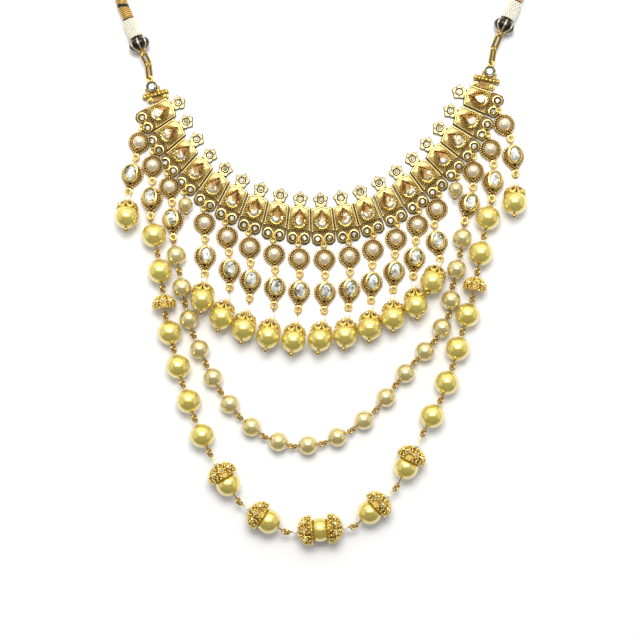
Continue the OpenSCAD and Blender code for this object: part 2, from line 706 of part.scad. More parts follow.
// The links and caps between an end piece and the cord, by their swing from +Y
LEFT_SWINGS = [-4, -25, -23];
RIGHT_SWINGS = [8, 22, 26];
function swing(left, k) = left ? LEFT_SWINGS[k] : RIGHT_SWINGS[k];
melon_z = melon_r + 0.5;
cap_dip = 4;
function up(a, rise, n) = sqrt(n * n - rise * rise) * [sin(a), cos(a), 0] + [0, 0, rise];
rise_each = (melon_z - joint_z) / 2;
function link_joint(left) = end_joint(left)
    + up(swing(left, 0), rise_each, left ? left_low_link : right_low_link);
function cap_joint(left) = link_joint(left)
    + up(swing(left, 1), rise_each, left ? left_high_link : right_high_link);
function cap_axis(left) = up(swing(left, 2), -sin(cap_dip), 1);
module link(p, q, flat) {
    n = norm(q - p);
    s = seat(loop_r);
    from_to(p, q) rotate([flat ? 0 : 90, 0, 0]) {
        translate([s, 0, 0]) rotate([0, 0, 90])
            rotate_extrude(angle = 180, $fn = round_fn) translate([loop_r, 0]) circle(d = wire_d, $fn = 24);
        translate([n - s, 0, 0]) rotate([0, 0, -90])
            rotate_extrude(angle = 180, $fn = round_fn) translate([loop_r, 0]) circle(d = wire_d, $fn = 24);
        for (side = [-1, 1])
            translate([s, side * loop_r, 0]) along_x() cylinder(d = wire_d, h = n - 2 * s, $fn = 24);
    }
}
module first_link(left) {
    color("goldenrod") link(end_joint(left), link_joint(left), false);
}
module second_link(left) {
    color("goldenrod") link(link_joint(left), cap_joint(left), true);
}

// The melon cap: lobes round the cord's axis, with a ring at its tip
melon_start = seat(loop_r) + loop_r + wire_d / 2;
melon_rings = 9;
melon_sides = 40;
function melon_profile(f) = let(c = 2 * f - 1) melon_r * sqrt(max(0.12, 1 - 0.88 * c * c));
function melon_outline(f) = [for (i = [0:melon_sides - 1])
    let(a = 360 * i / melon_sides,
        r = melon_profile(f) * (0.92 + 0.08 * abs(cos(a * melon_lobes / 2))))
    r * [cos(a), sin(a)]];
module melon_cap(left) {
    p = cap_joint(left);
    color("saddlebrown") from_to(p, p + cap_axis(left)) union() {
        translate([seat(loop_r), 0, 0]) upright_ring(loop_r, wire_d);
        translate([melon_start - 0.2, 0, 0]) along_x()
            stack([for (k = [0:melon_rings - 1]) melon_outline(k / (melon_rings - 1))],
                [for (k = [0:melon_rings - 1]) melon_len * k / (melon_rings - 1)]);
    }
}
sleeve_start = melon_start - 0.2 + melon_len + clearance;
module sleeve(left) {
    p = cap_joint(left);
    color("whitesmoke") from_to(p, p + cap_axis(left)) translate([sleeve_start, 0, 0])
        along_x() rotate_extrude($fn = round_fn) polygon([
            [0, 0], [sleeve_r - 0.5, 0], [sleeve_r, 0.7],
            [sleeve_r, sleeve_len - 0.7], [sleeve_r - 0.5, sleeve_len], [0, sleeve_len]]);
}

// A tube with a ring of sides at each point of a route
function tangent(points, i) = let(n = len(points) - 1,
    d = points[min(i + 1, n)] - points[max(i - 1, 0)]) d / norm(d);
function ring_points(p, t, r, sides) =
    let(u = cross(t, [0, 0, 1]) / norm(cross(t, [0, 0, 1])), v = cross(u, t))
    [for (k = [0:sides - 1]) p + r * (cos(360 * k / sides) * u + sin(360 * k / sides) * v)];
module tube(points, r, sides) {
    n = len(points);
    all = [for (i = [0:n - 1]) each ring_points(points[i], tangent(points, i), r, sides)];
    walls = [for (i = [0:n - 2]) for (k = [0:sides - 1])
        [i * sides + k, i * sides + (k + 1) % sides,
         (i + 1) * sides + (k + 1) % sides, (i + 1) * sides + k]];
    polyhedron(all, concat(walls,
        [[for (k = [sides - 1:-1:0]) k]],
        [[for (k = [0:sides - 1]) (n - 1) * sides + k]]));
}
cord_sides = 10;
cord_lead = 2;
function cord_start(left, lead) = cap_joint(left)
    + (sleeve_start + sleeve_len + clearance + lead) * cap_axis(left);
module cord() {
    color("peru") tube(concat([cord_start(true, 0), cord_start(true, cord_lead)], CORD_ROUTE,
        [cord_start(false, cord_lead), cord_start(false, 0)]), cord_d / 2, cord_sides);
}
slide_mid = [0, 207, 4];
module slide_bead() {
    color("goldenrod") translate(slide_mid) along_x() difference() {
        cylinder(r = cord_d / 2 + slide_wall, h = slide_len, center = true, $fn = round_fn);
        cylinder(r = cord_d / 2 + clearance, h = slide_len + 1, center = true, $fn = round_fn);
    }
}

module laid() {
    translate(origin_shift) children();
}

for (i = [1:panel_count])
    laid() laid_panel(i);
laid() tear_stones();
laid() pearl_settings();
laid() half_pearls();
laid() oval_settings();
laid() oval_stones();
laid() drop_pearls();
laid() lone_pearls();
laid() drop_caps();
laid() drop_pins();
laid() inner_strand_pearls();
laid() inner_strand_pins();
laid() outer_strand_pearls();
laid() outer_strand_caps();
laid() dome_caps();
laid() outer_strand_pins();
laid() end_piece(true);  // end_piece_left
laid() end_piece(false);  // end_piece_right
laid() end_stones();
laid() first_link(true);  // link_left_1
laid() second_link(true);  // link_left_2
laid() first_link(false);  // link_right_1
laid() second_link(false);  // link_right_2
laid() melon_cap(true);  // melon_cap_left
laid() melon_cap(false);  // melon_cap_right
laid() sleeve(true);  // sleeve_left
laid() sleeve(false);  // sleeve_right
laid() cord();
laid() slide_bead();
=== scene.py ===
import bmesh
import bpy
import numpy as np
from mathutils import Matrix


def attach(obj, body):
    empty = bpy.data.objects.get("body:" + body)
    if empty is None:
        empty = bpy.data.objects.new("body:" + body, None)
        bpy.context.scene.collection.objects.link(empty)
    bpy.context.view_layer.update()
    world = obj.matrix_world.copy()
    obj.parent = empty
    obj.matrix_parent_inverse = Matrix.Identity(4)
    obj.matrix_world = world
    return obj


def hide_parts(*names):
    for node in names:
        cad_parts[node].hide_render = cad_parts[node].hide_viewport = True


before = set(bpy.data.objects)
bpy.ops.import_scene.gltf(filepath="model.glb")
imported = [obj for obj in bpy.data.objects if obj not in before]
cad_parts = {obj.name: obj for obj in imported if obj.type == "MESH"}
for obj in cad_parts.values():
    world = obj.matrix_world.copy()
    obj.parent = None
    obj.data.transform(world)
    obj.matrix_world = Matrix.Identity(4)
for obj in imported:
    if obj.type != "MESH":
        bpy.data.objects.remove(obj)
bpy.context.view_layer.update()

# The camera looks straight down on the necklace, which lies on a white table, from 0.62 m through an
# 85 mm lens. The cord's far end runs out of the top of the picture.
def stood(name, data):
    """An object for a mesh, a lamp or a camera, linked into the scene."""
    made = bpy.data.objects.new(name, data)
    bpy.context.scene.collection.objects.link(made)
    return made


lens = bpy.data.cameras.new("camera")
lens.lens = 85
lens.sensor_width = 36
lens.clip_start = 0.01
camera = stood("camera", lens)
camera.location = (-0.00028, -0.01955, 0.6231)
bpy.context.scene.camera = camera


# The cord round the neck: a soft cotton core wound with gold metal thread, with a short winding of
# coloured silk at intervals. It leaves one sleeve of beads and goes back into the other.
def shell(rings, patina_and_painted_light=0.0, joined=False):
    """A closed skin through rings of points. Each ring is joined to the next by quads all the way round,
    and each end is closed by a fan to its ring's mean point. A joined skin runs from its last ring back
    into its first one instead, as a torus does. The mark at each point is the metal's patina together
    with painted shade in its hollows and under its edges; on a stone it is a painted glint or highlight."""
    count, around = rings.shape[:2]
    here = np.arange(around)
    beside = np.roll(here, -1)
    low = np.arange(count if joined else count - 1)[:, None] * around
    high = (low + around) % (count * around)
    quads = np.stack([low + here, low + beside, high + beside, high + here], -1).reshape(-1, 4)
    points = rings.reshape(-1, 3)
    marks = np.broadcast_to(patina_and_painted_light, (count, around)).reshape(-1)
    if joined:
        return points, quads, np.zeros((0, 3), int), marks
    top = (count - 1) * around
    first = np.stack([np.full(around, count * around), beside, here], -1)
    last = np.stack([np.full(around, count * around + 1), top + here, top + beside], -1)
    points = np.concatenate([points, [rings[0].mean(0), rings[-1].mean(0)]])
    marks = np.concatenate([marks, [marks[0], marks[-1]]])
    return points, quads, np.concatenate([first, last]), marks


def metres(points):
    """Points of the drawing, in millimetres, moved by its own offset from the frame and made metres."""
    return (points + [0.13, 0.34, 0.0]) * 0.001


def skin(name, parts, crease=40.0, extra=None):
    """One object from lists of skins, each list with its material. Edges sharper than the crease, in
    degrees, are creased, and a crease of 0 leaves every face flat. Faces are turned outward."""
    rows = []
    start = 0
    for index, (_, skins) in enumerate(parts):
        for p, q, t, m in skins:
            rows.append((p, m, q + start, t + start, np.full(len(q), index), np.full(len(t), index)))
            start += len(p)
    points, marks, quads, tris, quad_mat, tri_mat = [np.concatenate(column) for column in zip(*rows)]
    corners = np.concatenate([quads.ravel(), tris.ravel()])
    begins = np.concatenate([np.arange(len(quads)) * 4, quads.size + np.arange(len(tris)) * 3])
    mesh = bpy.data.meshes.new(name)
    for elements, count, key, values in (
        (mesh.vertices, len(points), "co", metres(points).astype(np.float32).ravel()),
        (mesh.loops, len(corners), "vertex_index", corners.astype(np.int32)),
        (mesh.polygons, len(begins), "loop_start", begins.astype(np.int32)),
    ):
        elements.add(count)
        elements.foreach_set(key, values)
    materials = np.concatenate([quad_mat, tri_mat]).astype(np.int32)
    mesh.polygons.foreach_set("material_index", materials)
    mesh.update(calc_edges=True)
    for key, values in {"patina_and_painted_light": marks, **(extra or {})}.items():
        layer = mesh.attributes.new(key, "FLOAT", "POINT")
        layer.data.foreach_set("value", values.astype(np.float32))
    outward = bmesh.new()
    outward.from_mesh(mesh)
    bmesh.ops.recalc_face_normals(outward, faces=outward.faces)
    outward.to_mesh(mesh)
    outward.free()
    mesh.polygons.foreach_set("use_smooth", np.full(len(mesh.polygons), crease > 0))
    if crease > 0:
        mesh.set_sharp_from_angle(angle=np.radians(crease))
    for material, _ in parts:
        mesh.materials.append(material)
    return stood(name, mesh)


def paint(code):
    """A colour from its hex code as it looks on a screen, made linear for the shader."""
    parts = np.array([int(code[k : k + 2], 16) for k in (0, 2, 4)]) / 255
    linear = np.where(parts > 0.04045, ((parts + 0.055) / 1.055) ** 2.4, parts / 12.92)
    return (*linear, 1.0)


def fresh(name):
    """A new material with its node tree and its Principled shader."""
    material = bpy.data.materials.new(name)
    material.use_nodes = True
    return material, material.node_tree, material.node_tree.nodes["Principled BSDF"]


def feed(tree, node, inputs):
    """A node's inputs, by label or place, each given a plain value or another node's output."""
    for key, value in inputs.items():
        if isinstance(value, bpy.types.NodeSocket):
            tree.links.new(value, node.inputs[key])
        else:
            node.inputs[key].default_value = value


def sums(tree, operation, *values):
    """A Math node whose inputs are sockets or plain numbers; it gives back its output."""
    node = tree.nodes.new("ShaderNodeMath")
    node.operation = operation
    feed(tree, node, dict(enumerate(values)))
    return node.outputs[0]


def blend_of(tree, share, first, second):
    """A colour mix of two colours by a share. Each may be a socket or a value, and a text is a hex
    code."""
    node = tree.nodes.new("ShaderNodeMix")
    node.data_type = "RGBA"
    first, second = [paint(c) if isinstance(c, str) else c for c in (first, second)]
    feed(tree, node, {0: share, 6: first, 7: second})
    return node.outputs[2]


def mark_of(tree, key):
    """The value that the mesh holds under a name at each point."""
    node = tree.nodes.new("ShaderNodeAttribute")
    node.attribute_name = key
    return node.outputs["Fac"]


def raised(tree, shader, height, strength, depth):
    """A bump on a shader from a socket's height, with its strength and its depth in metres."""
    bump = tree.nodes.new("ShaderNodeBump")
    feed(tree, bump, {"Strength": strength, "Distance": depth, "Height": height})
    feed(tree, shader, {"Normal": bump.outputs[0]})


def turns(count):
    """Equal steps of angle, once round."""
    return 2 * np.pi * np.arange(count) / count


def swept(route, radius, around):
    """A round tube along a route. At each point the ring's first axis lies level, across the route,
    and its second one is square to both. It gives the rings, the run in mm, and the ring's angles."""
    ahead = np.gradient(route, axis=0)
    ahead /= np.linalg.norm(ahead, axis=1)[:, None]
    side = np.cross(ahead, [0, 0, 1])
    side /= np.linalg.norm(side, axis=1)[:, None]
    above = np.cross(side, ahead)
    angle = turns(around)
    rings = route[:, None] + radius * np.cos(angle)[None, :, None] * side[:, None]
    rings = rings + radius * np.sin(angle)[None, :, None] * above[:, None]
    run = np.concatenate([[0], np.cumsum(np.linalg.norm(np.diff(route, axis=0), axis=1))])
    return rings, run, angle


def through(knots, step):
    """A smooth curve through knots: between two of them it is the Catmull-Rom cubic, whose slope at a
    knot is half the way from the knot before to the one after. Points are about a step apart."""
    after = np.vstack([knots[2:], 2 * knots[-1] - knots[-2]])
    here, there = knots[:-1], knots[1:]
    before = np.vstack([2 * knots[0] - knots[1], knots[:-2]])
    count = max(2, int(np.linalg.norm(there - here, axis=1).mean() / step))
    t = (np.arange(count) / count)[None, :, None]
    a, b, c, d = before[:, None], here[:, None], there[:, None], after[:, None]
    curve = 0.5 * (
        2 * b + (c - a) * t + (2 * a - 5 * b + 4 * c - d) * t**2 + (3 * b - a - 3 * c + d) * t**3
    )
    return np.vstack([curve.reshape(-1, 3), knots[-1:]])


cord_knots = np.array([
    (-78.5265, 102.743, 3.65), (-79.3061, 104.58, 3.51),
    (-81.6, 110, 2.9), (-83, 116, 2.6), (-84.8, 124, 2.6), (-86.6, 134, 2.6), (-87.6, 147, 2.6),
    (-85.6, 160, 2.6), (-80.2, 172.5, 2.6), (-72, 183, 2.6), (-61, 192, 2.6), (-48.5, 199, 2.6),
    (-35, 203.6, 2.7), (-22, 206.2, 3.3), (-11, 207, 4), (-5, 207, 4), (5, 207, 4), (11, 207, 4),
    (22, 206.2, 3.3), (35, 203.6, 2.7), (49, 199, 2.6), (62, 192, 2.6), (73.5, 182.8, 2.6),
    (82.4, 171.5, 2.6), (88, 158.5, 2.6), (89.8, 145, 2.6), (88.4, 132, 2.6), (85.8, 123, 2.6),
    (82.8, 116.6, 2.9), (80.4419, 111.896, 3.51), (79.5672, 110.103, 3.65),
])
cord_radius = 2.3
cord_route = through(cord_knots, 1.0)
cord_rings, cord_run, cord_angle = swept(cord_route, cord_radius, 20)
cord_length = float(cord_run[-1])


def wound_thread(name, run_length):
    """Fine thread wound round a core: ridges on a helix, the sine of the run plus the angle round the
    cord. A winding of coloured silk covers it wherever the run's wave is near its top, and each of the
    cord's ends is tied off with a narrow one."""
    material, tree, shader = fresh(name)
    run = mark_of(tree, "run")
    turn = sums(tree, "MULTIPLY", run, 7.5)
    helix = sums(tree, "ADD",
        sums(tree, "MULTIPLY", sums(tree, "SINE", turn), mark_of(tree, "across")),
        sums(tree, "MULTIPLY", sums(tree, "COSINE", turn), mark_of(tree, "above")))
    ridge = sums(tree, "MULTIPLY_ADD", helix, 0.5, 0.5)
    slant = sums(tree, "MULTIPLY_ADD", mark_of(tree, "across"), 0.7, run)
    wave = sums(tree, "COSINE", sums(tree, "MULTIPLY", sums(tree, "SUBTRACT", slant, 6.5), 0.5236))
    from_end = sums(tree, "MINIMUM", run, sums(tree, "SUBTRACT", run_length, run))
    tied = sums(tree, "LESS_THAN", from_end, 0.9)
    band = sums(tree, "MAXIMUM", tied, sums(tree, "GREATER_THAN", wave, 0.93))
    which = sums(tree, "GREATER_THAN",
        sums(tree, "SINE", sums(tree, "MULTIPLY", sums(tree, "ADD", run, 2.0), 0.2618)), tied)
    silk = blend_of(tree, which, "5A1E14", "1E2F16")
    # Painted shade and highlight: thread and silk are darker in the grooves between the turns and
    # lighter on their crowns.
    thread = blend_of(tree, ridge, "8E6022", "EEC670")
    coloured = blend_of(tree, sums(tree, "MULTIPLY_ADD", ridge, 0.5, 0.3), "120A06", silk)
    feed(tree, shader, {
        "Base Color": blend_of(tree, band, thread, coloured),
        "Metallic": sums(tree, "MULTIPLY_ADD", band, -0.45, 0.65),
        "Roughness": 0.42,
    })
    raised(tree, shader, ridge, 0.8, 0.00025)
    return material


cord_marks = {}
for key, values, far in (
    ("run", cord_run[:, None], cord_length), ("across", np.cos(cord_angle), 0),
    ("above", np.sin(cord_angle), 0),
):
    along = np.broadcast_to(values, cord_rings.shape[:2]).reshape(-1)
    cord_marks[key] = np.concatenate([along, [0, far]])
cord = skin(
    "wound_cord", [(wound_thread("wound thread", cord_length), [shell(cord_rings)])], 60.0, cord_marks)
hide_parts("cord")
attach(cord, "root")


# The slide bead: a plain turned gold barrel that both ends of the cord would pass through, to set
# the necklace's length at the back of the neck. It is outside the photograph.
def about_x(along, radius):
    """Rings about the X axis, from each point's place along it and its radius, row by row."""
    angle = turns(radius.shape[1])
    along = np.broadcast_to(along, radius.shape)
    return np.stack([along, radius * np.cos(angle), radius * np.sin(angle)], -1)


def turned(profile, around, patina_and_painted_light=0.0, wave=1.0, joined=False):
    """A shape turned about the X axis. The profile's points are (along X, radius), and each becomes a
    ring. A wave, where there is one, multiplies each ring's radius round the axis."""
    profile = np.array(profile, float)
    radius = np.maximum(profile[:, 1, None], 0.004) * wave * np.ones(around)
    return shell(about_x(profile[:, 0, None], radius), patina_and_painted_light, joined)


def placed(skins, turn, shift):
    """The same skins, turned by a matrix and then moved."""
    return [(p @ turn.T + shift, q, t, m) for p, q, t, m in skins]


def moved(skins, *shift):
    """The same skins, moved along X, Y and Z."""
    return placed(skins, np.eye(3), shift)


def rolled(degrees):
    """The matrix that turns a shape about the X axis."""
    c, s = np.cos(np.radians(degrees)), np.sin(np.radians(degrees))
    return np.array([[1.0, 0, 0], [0, c, -s], [0, s, c]])


def settled(name, parts, slot, *nodes, crease=40.0):
    """A finished piece: its skins made an object that rides with the necklace and stands for its nodes.
    The slot is not used."""
    made = skin(name, parts, crease)
    if nodes:
        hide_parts(*nodes)
    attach(made, "root")
    return made


def texture(tree, kind, scale):
    """A procedural texture of some scale, laid out by the object's own coordinates."""
    node = tree.nodes.new(kind)
    place = tree.nodes.new("ShaderNodeTexCoord")
    feed(tree, node, {"Vector": place.outputs["Object"], "Scale": scale})
    return node


def patina_and_shade_group():
    """How a gilt casting ages, and its painted shade, as a group: fine grain from noise, and a darker
    recess colour where the mesh's mark is deep, which is partly patina in the hollows and partly painted
    shade in recesses, gaps and under edges. Colour is a mix by that mark plus grain, and so is the
    roughness."""
    group = bpy.data.node_groups.new("patina_and_shade", "ShaderNodeTree")
    for way_in, kind, labels in (
        ("INPUT", "NodeSocketColor", ("Metal", "Recess")),
        ("INPUT", "NodeSocketFloat", ("Patina and shade", "Grain", "Roughness")),
        ("OUTPUT", "NodeSocketColor", ("Color",)),
        ("OUTPUT", "NodeSocketFloat", ("Roughness", "Height")),
    ):
        for label in labels:
            group.interface.new_socket(label, in_out=way_in, socket_type=kind)
    given = group.nodes.new("NodeGroupInput")
    result = group.nodes.new("NodeGroupOutput")
    noise = texture(group, "ShaderNodeTexNoise", given.outputs["Grain"])
    feed(group, noise, {"Detail": 4})
    grain = sums(group, "SUBTRACT", noise.outputs[0], 0.5)
    clear = group.nodes.new("ShaderNodeClamp")
    feed(group, clear, {0: sums(group, "MULTIPLY_ADD", grain, 0.3, given.outputs["Patina and shade"])})
    feed(group, result, {
        "Color": blend_of(group, clear.outputs[0], given.outputs["Metal"], given.outputs["Recess"]),
        "Roughness": sums(group, "MULTIPLY_ADD", clear.outputs[0], 0.25, given.outputs["Roughness"]),
        "Height": noise.outputs[0],
    })
    return group


patina_and_shade = patina_and_shade_group()


def gilt(name, metal, recess, rough, metallic=1.0, grain=900.0):
    """Gilt metal: the patina and shade group on a metallic shader, with the mesh's own mark darkening
    its recesses as patina and painted shade.
    """
    material, tree, shader = fresh(name)
    aged_and_shaded = tree.nodes.new("ShaderNodeGroup")
    aged_and_shaded.node_tree = patina_and_shade
    feed(tree, aged_and_shaded, {"Metal": paint(metal), "Recess": paint(recess), "Grain": grain,
        "Roughness": rough, "Patina and shade": mark_of(tree, "patina_and_painted_light")})
    feed(tree, shader, {"Base Color": aged_and_shaded.outputs["Color"], "Metallic": metallic,
        "Roughness": aged_and_shaded.outputs["Roughness"]})
    raised(tree, shader, aged_and_shaded.outputs["Height"], 0.15, 0.0001)
    return material


bright_gold = gilt("bright gold", "F2D67C", "5A3A10", 0.18)
slide_profile = [
    (-5.5, 2.6), (-5.5, 3.3), (-5.2, 3.6), (-4.6, 3.6), (-4.3, 3.35), (-3.4, 3.6), (0, 3.8),
    (3.4, 3.6), (4.3, 3.35), (4.6, 3.6), (5.2, 3.6), (5.5, 3.3), (5.5, 2.6),
]
slide_bead = settled(
    "slide_barrel", [(bright_gold, moved([turned(slide_profile, 48, joined=True)], 0, 207, 4))],
    "bright_gold", "slide_bead")


# The sleeves: each end of the cord is covered by a woven tube of off-white seed beads, sewn row by
# row, and its outer edge ends in the beads' own scallops.
def aim(start, end):
    """The axes and the start of a link from one point to another: X runs along it, Y lies level and Z
    is square to both, upward."""
    along = (end - start) / np.linalg.norm(end - start)
    level = np.array([-along[1], along[0], 0.0]) / np.hypot(along[0], along[1])
    return np.stack([along, level, np.cross(along, level)], 1), start


def hung(start, degrees, length, rise=0.0):
    """The joint at a link's far end. From its start it goes down the picture, swung by an angle
    towards +X, and it rises by so much."""
    run = np.sqrt(length**2 - rise**2)
    swing = np.radians(degrees)
    return start + np.array([run * np.sin(swing), -run * np.cos(swing), rise])


joint_height = 1.425
link_rise = (4.7 - joint_height) / 2
sleeve_fall = np.sin(np.radians(4))
ends = {}
for side, low, swings, lengths in (
    ("left", (-70.5227, 79.887, joint_height), (184, 205, 203), (5.5, 4.5)),
    ("right", (70.1807, 86.1399, joint_height), (172, 158, 154), (5.7, 5.7)),
):
    low = np.array(low)
    middle = hung(low, swings[0], lengths[0], link_rise)
    high = hung(middle, swings[1], lengths[1], link_rise)
    ends[side] = (low, middle, high, hung(high, swings[2], 1, -sleeve_fall))


def arc(radius, first, rows):
    """The profile of a sphere at equal steps of latitude, from a share of the half turn to the same
    share before its end."""
    turn = np.linspace(first, 1 - first, rows) * np.pi
    return np.stack([-radius * np.cos(turn), radius * np.sin(turn)], -1)


def seed(length, radius, around=8, rows=5):
    """One seed bead: a rounded ring of glass, whose profile is the circle's own, flattened to the
    bead's length, with a dimple at each end for the hole."""
    profile = arc(1, 0.16, rows) * [length / 2 / np.cos(0.16 * np.pi), radius]
    profile = np.vstack([[-length * 0.34, radius * 0.2], profile, [length * 0.34, radius * 0.2]])
    return turned(profile, around)


def glassy(name, colour, shade, rough, coat):
    """Opaque bead glass: a pale body whose colour shifts a little from bead to bead with noise."""
    material, tree, shader = fresh(name)
    noise = texture(tree, "ShaderNodeTexNoise", 900)
    body = blend_of(tree, noise.outputs[0], colour, shade)
    feed(tree, shader, {"Base Color": body, "Roughness": rough, "Coat Weight": coat})
    return material


white_glass = glassy("off-white bead glass", "FFFCF0", "E6DCC2", 0.2, 0.6)
# Painted shade: the dull tube under the beads is the sewing thread and the shade between the beads.
sleeve_thread_and_shade = glassy("sewing thread and shade", "A8966C", "8C7A50", 0.7, 0.0)
lining = [turned([(7.5, 2.3), (7.5, 2.5), (14.6, 2.5), (14.6, 2.3)], 32)]
upended = np.array([[0, 0, 1], [0, 1, 0], [-1, 0, 0]])
beads = []
for row in range(9):
    bead = placed([seed(0.96, 0.54)], upended, (7.85 + row * 0.86, 2.62, 0))
    for k in range(15):
        beads += placed(bead, rolled(360 / 15 * (k + 0.5 * (row % 2))), 0)
for side in ("left", "right"):
    axes, base = aim(ends[side][2], ends[side][3])
    settled("bead_sleeve_" + side, [
        (white_glass, placed(beads, axes, base)),
        (sleeve_thread_and_shade, placed(lining, axes, base)),
    ], "white_beads", "sleeve_" + side)


# The melon caps: a dark oxidised metal cap with eight swelling lobes, each seam laid with a raised
# silver rib, and a gold ring at its tip that takes the link.
def loop(radius, wire, upright=False, around=28, inner=10):
    """A ring of round wire: a small circle carried round a large one, flat or standing on edge."""
    a = turns(around)[:, None]
    b = turns(inner)
    reach = radius + wire / 2 * np.cos(b)
    rings = np.stack([reach * np.cos(a), reach * np.sin(a), wire / 2 * np.sin(b) + 0 * a], -1)
    if upright:
        rings = np.stack([rings[..., 0], -rings[..., 2], rings[..., 1]], -1)
    return shell(rings, joined=True)


ring_out = 0.575


def upright_ring(height=0.0):
    """The ring that stands on edge at the start of a link or a pin and takes the one before it."""
    return moved([loop(1.0, 0.74, True)], ring_out, 0, height)


def melon():
    """A melon's skin about the X axis: its radius follows a flattened circle along its length and is
    drawn in at eight seams by the cosine of the angle. A narrow rib stands up along each seam."""
    along = np.linspace(0, 1, 26)
    swell = 4.3 * np.sqrt(np.maximum(0.12, 1 - 0.88 * (2 * along - 1) ** 2))
    angle = turns(160)
    seam = np.abs(np.cos(4 * angle))
    rib = np.exp(-(((1 - seam) / 0.05) ** 2))
    lobe = 0.93 + 0.07 * np.sqrt(1 - seam**2)
    radius = swell[:, None] * (lobe + 0.085 * rib)[None]
    return shell(about_x(1.65 + 5.6 * along[:, None], radius), 1 - rib)


def oxidised():
    """Blackened metal whose raised ribs are rubbed back to pale silver where the mesh's mark is least.
    """
    material, tree, shader = fresh("oxidised silver")
    patina_and_painted_light = mark_of(tree, "patina_and_painted_light")
    feed(tree, shader, {"Base Color": blend_of(tree, patina_and_painted_light, "E4D8B8", "1E0F06"), "Roughness": 0.32,
        "Coat Weight": 0.25, "Metallic": sums(tree, "MULTIPLY_ADD", patina_and_painted_light, -0.55, 1.0)})
    return material


dark_silver = oxidised()
wire_gold = gilt("wire gold", "C9AA5C", "5A3A10", 0.22)
melon_tip = upright_ring() + [turned([(1.35, 1.3), (1.5, 1.75), (2.0, 1.9), (2.1, 1.4)], 32)]
for side in ("left", "right"):
    axes, base = aim(ends[side][2], ends[side][3])
    settled("melon_bead_" + side, [
        (dark_silver, placed([melon()], axes, base)),
        (wire_gold, placed(melon_tip, axes, base)),
    ], "dark_melon", "melon_cap_" + side)


# The links: two long ovals of round gold wire on each side. The lower one is rolled half over and
# the upper one a little less, as in any cable chain that is laid down.
def long_link(length, wire):
    """A stadium of round wire along X: two half circles of radius 1.05 joined by straight sides, with
    a small circle carried along it."""
    straight = length - 1.1
    turn = np.linspace(-np.pi / 2, np.pi / 2, 14)
    bend = np.stack([np.cos(turn), np.sin(turn)], -1)
    half = 1.05 * bend + [straight / 2, 0]
    oval = np.vstack([half, -half])
    out = np.vstack([bend, -bend])
    b = turns(10)
    wide = oval[:, None] + wire / 2 * np.cos(b)[None, :, None] * out[:, None]
    high = np.broadcast_to(wire / 2 * np.sin(b)[None], wide.shape[:2])
    rings = np.concatenate([wide + [length / 2, 0], high[..., None]], -1)
    return shell(rings, joined=True)


for side in ("left", "right"):
    low, middle, high, _ = ends[side]
    for number, start, end, roll in ((1, low, middle, 45), (2, middle, high, 30)):
        axes, base = aim(start, end)
        link = long_link(np.linalg.norm(end - start), 1.25)
        settled(f"cable_link_{side}_{number}", [(wire_gold, placed([link], axes @ rolled(roll), base))],
            "wire_gold", f"link_{side}_{number}")


# The panels of the collar: each is a struck and gilt plate with a gabled top, a flower above it, a
# milled frame for the tear-shaped stone, and two small collets at its foot.
def round_at(radius, count, flat=1.0):
    """A circle's or an ellipse's outline as a function of its inset."""
    angle = turns(count)
    return lambda inset: np.stack(
        [(radius - inset) * np.cos(angle), (radius * flat - inset) * np.sin(angle)], -1)


def drop_at(big, small, reach, count):
    """A tear's outline as a function of its inset: a big circle and a small one joined by their common
    tangents. Set in, both radii shrink and the tangents keep their lean, so the tip draws back."""
    lean = np.arccos((big - small) / reach)

    def outline(inset):
        r = big - inset
        q = max(small - inset, 0.04)
        d = (r - q) / np.cos(lean)
        share = np.linspace(0, 1, count // 2 + 1)
        full = big * (np.pi - lean), np.sqrt(reach**2 - (big - small) ** 2), small * lean
        breaks = np.cumsum(full) / np.sum(full)
        bow = np.pi - np.clip(share / breaks[0], 0, 1) * (np.pi - lean)
        on = np.clip((share - breaks[0]) / (breaks[1] - breaks[0]), 0, 1)[:, None]
        tip = lean * (1 - np.clip((share - breaks[1]) / (1 - breaks[1]), 0, 1))
        from_big = r * np.stack([np.cos(bow), np.sin(bow)], -1)
        to_small = np.array([d, 0]) + q * np.stack([np.cos(tip), np.sin(tip)], -1)
        facing = np.array([np.cos(lean), np.sin(lean)])
        straight = r * facing * (1 - on) + (np.array([d, 0]) + q * facing) * on
        half = np.where(share[:, None] <= breaks[0], from_big, straight)
        half = np.where(share[:, None] > breaks[1], to_small, half)
        return np.vstack([half, half[-2:0:-1] * [1, -1]])[::-1]

    return outline


def edge_at(corners, each):
    """A straight-sided outline as a function of its inset, with so many points to a side. Each point
    moves in along its own normal."""
    corners = np.array(corners, float)
    share = (np.arange(each) / each)[None, :, None]
    line = (corners[:, None] * (1 - share) + np.roll(corners, -1, 0)[:, None] * share).reshape(-1, 2)
    forward = np.roll(line, -1, 0) - line
    forward /= np.linalg.norm(forward, axis=1)[:, None]
    backward = np.roll(forward, 1, 0)
    normal = np.stack([forward[:, 1] + backward[:, 1], -forward[:, 0] - backward[:, 0]], -1)
    normal /= (1 + (forward * backward).sum(1))[:, None]
    return lambda inset: line - inset * normal


